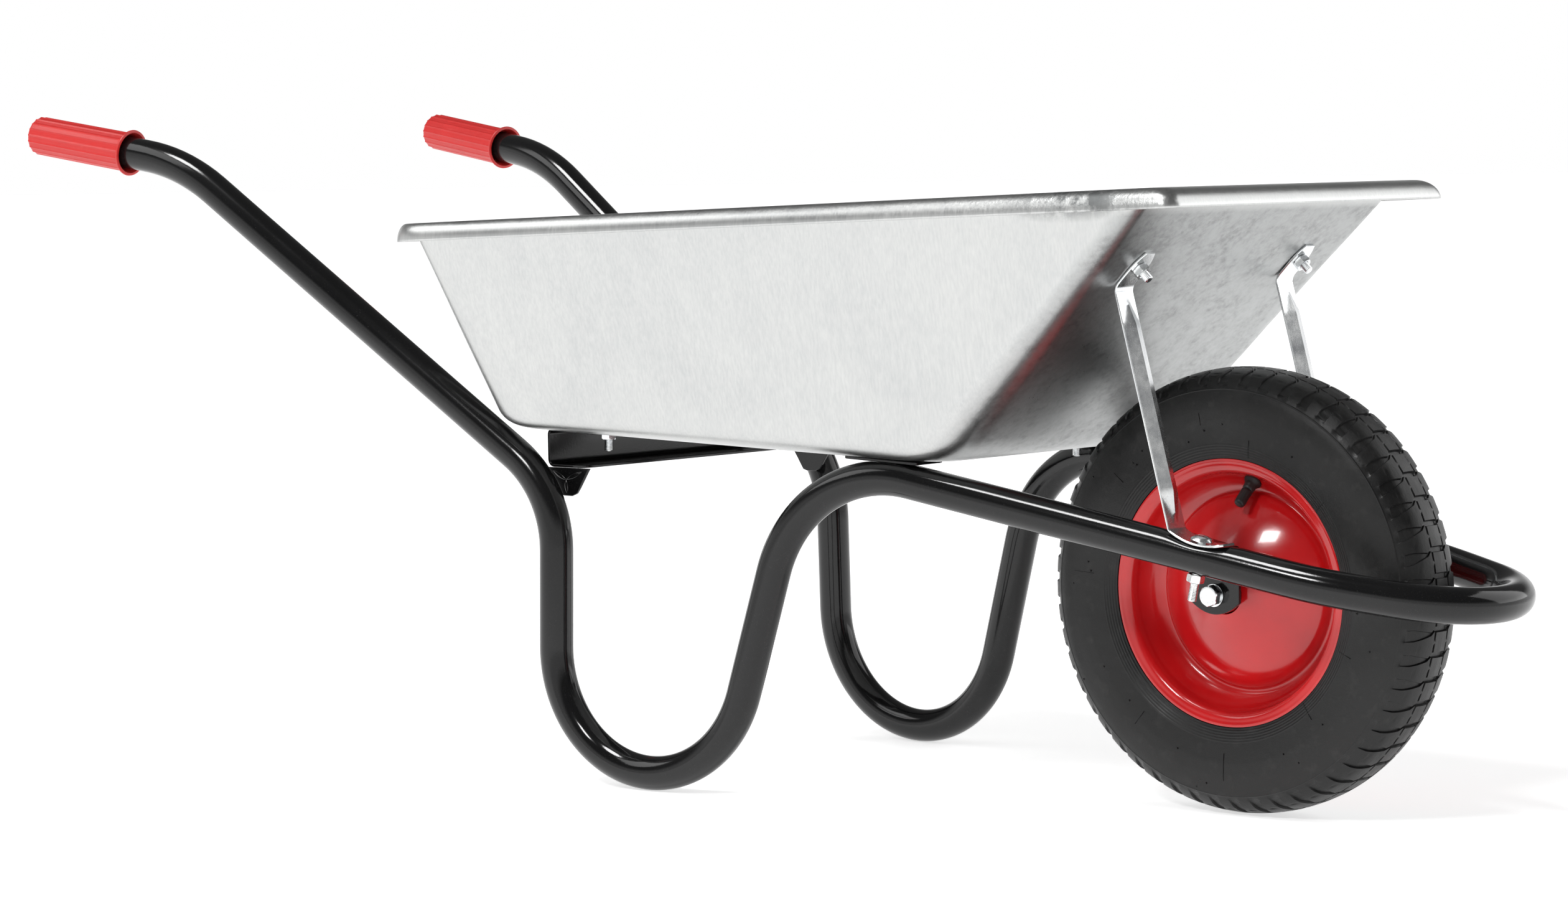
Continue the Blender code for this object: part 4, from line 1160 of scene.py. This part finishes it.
def valve():
    """A raised collar pressed round the hole, a rubber stem with a flared foot, and a ribbed screw cap."""
    where = valve_place()
    collar = [(0.0060, -0.002), (0.0088, -0.0012), (0.0094, 0.0), (0.0082, 0.0011), (0.0062, 0.0014)]
    settled("valve_collar", lofted(placed(turned(collar, 32), where), loop=True), "rim_paint", body="wheel")
    stem = [(0.0052, -0.0090), (0.0052, 0.0016), (0.0079, 0.0020), (0.0080, 0.0030), (0.0074, 0.0042),
            (0.0062, 0.0056), (0.0055, 0.0076), (0.0052, 0.0110), (0.0050, 0.0124), (0.0044, 0.0130),
            (0.0036, 0.0135), (0.0036, 0.0175)]
    shape = lofted(placed(turned(stem, 32), where))
    settled("flared_valve_stem", shape, "valve_rubber", ["valve_stem"], 40, "wheel")
    cap = [(0.0040, 0.0178), (0.0040, 0.0139), (0.0047, 0.0139), (0.0050, 0.0143), (0.0050, 0.0160),
           (0.0049, 0.0175), (0.0049, 0.0265), (0.0047, 0.0278), (0.0042, 0.0288), (0.0032, 0.0294),
           (0.0012, 0.0295)]
    rings = turned(cap, 48)
    for ring in rings:
        if 0.0164 < ring[0].z < 0.0270:
            for k, point in enumerate(ring):
                point.xy *= 1 - 0.055 * (k % 4 in (0, 1))
    shape = lofted(placed(rings, where))
    settled("ribbed_valve_cap", shape, "valve_rubber", ["valve_cap"], 40, "wheel")


def carried_over():
    """Gives each CAD node that still shows its slot's finish."""
    slots = {part["node"]: part["material_slot"] for part in frame["record"]["subparts"]}
    for name, shown in frame["nodes"].items():
        if not shown.hide_render:
            shown.data.materials.clear()
            shown.data.materials.append(FINISHES[slots[name]])


# ---- stage ----


def facing(name, data, way):
    """A light in the scene that shines the given way."""
    made = linked(name, data)
    made.rotation_euler = way.to_track_quat("-Z", "Y").to_euler()
    return made


def area_light(name, place, target, size, power):
    data = bpy.data.lights.new(name, "AREA")
    data.shape = "RECTANGLE"
    data.size, data.size_y = size
    data.energy = power
    facing(name, data, Vector(target) - Vector(place)).location = place


def studio():
    """A pale floor, a white horizon under a dim sky, a soft sun overhead and three soft boxes."""
    floor, where = finish("studio_floor", roughness=0.6, emission_color=(1, 1, 1, 1), emission_strength=0.62)
    colour = blended(noise(where, 3, 3), (0.86, 0.86, 0.86), (0.90, 0.90, 0.90))
    feed(floor.node_tree.nodes["Principled BSDF"].inputs["Base Color"], colour)
    mesh = bpy.data.meshes.new("studio_floor")
    mesh.from_pydata([tuple(p) for p in circle(60, 64)], [], [tuple(range(64))])
    mesh.materials.append(floor)
    linked("studio_floor", mesh)

    world = bpy.data.worlds.new("studio")
    world.use_nodes = True
    background = world.node_tree.nodes["Background"]
    height = height_of(node(world.node_tree, "TexCoord").outputs["Generated"])
    feed(background.inputs["Strength"], spread(height, 0.16, 0.34, 1.0, 0.12))
    feed(background.inputs["Color"], (1, 1, 1, 1))
    bpy.context.scene.world = world

    sun = bpy.data.lights.new("overhead", "SUN")
    sun.energy = 1.7
    sun.angle = radians(16)
    facing("overhead", sun, Vector((0.20, 0.42, -1.0)))
    area_light("key", (0.35, -2.6, 2.3), (0.45, 0, 0.25), (0.7, 0.4), 34)
    area_light("front_far", (2.1, 2.2, 1.75), (0.5, 0, 0.5), (2.6, 2.4), 34)
    area_light("rear_near", (-1.7, -1.5, 2.1), (0.0, -0.2, 0.4), (1.6, 1.1), 15)


def camera():
    """Long lens from ahead and to the right, a little above the wheel."""
    yaw, pitch, roll = 0.6986, 0.0700, -0.0147
    forward = Vector((-sin(yaw) * cos(pitch), cos(yaw) * cos(pitch), -sin(pitch)))
    level = Vector((cos(yaw), sin(yaw), 0))
    up = level.cross(forward)
    right = level * cos(roll) + up * sin(roll)
    above = up * cos(roll) - level * sin(roll)
    data = bpy.data.cameras.new("camera")
    data.sensor_width = 36.0
    data.lens = 101.68
    data.shift_x, data.shift_y = 0.00156, -0.0010
    data.clip_end = 200.0
    made = linked("camera", data)
    turn = Matrix((right, above, -forward)).transposed().to_4x4()
    made.matrix_world = Matrix.Translation(station(2.1316, -3.163, 0.581)) @ turn
    bpy.context.scene.camera = made


FINISHES = {
    "frame_paint": black_paint(),
    "galvanised_sheet": galvanised(),
    "zinc_plate": zinc_plate(),
    "rim_paint": red_paint(),
    "grip_plastic": red_plastic(),
    "tyre_rubber": tyre_rubber(),
    "valve_rubber": valve_rubber(),
    "bush_nylon": bush_nylon(),
}

camera()
studio()
frame_tube()
grips()
tray()
tray_fasteners()
braces()
cross_member()
lugs()
axle_brackets()
axle()
tyre()
rims()
valve()
carried_over()
bpy.context.scene.view_settings.view_transform = "Standard"
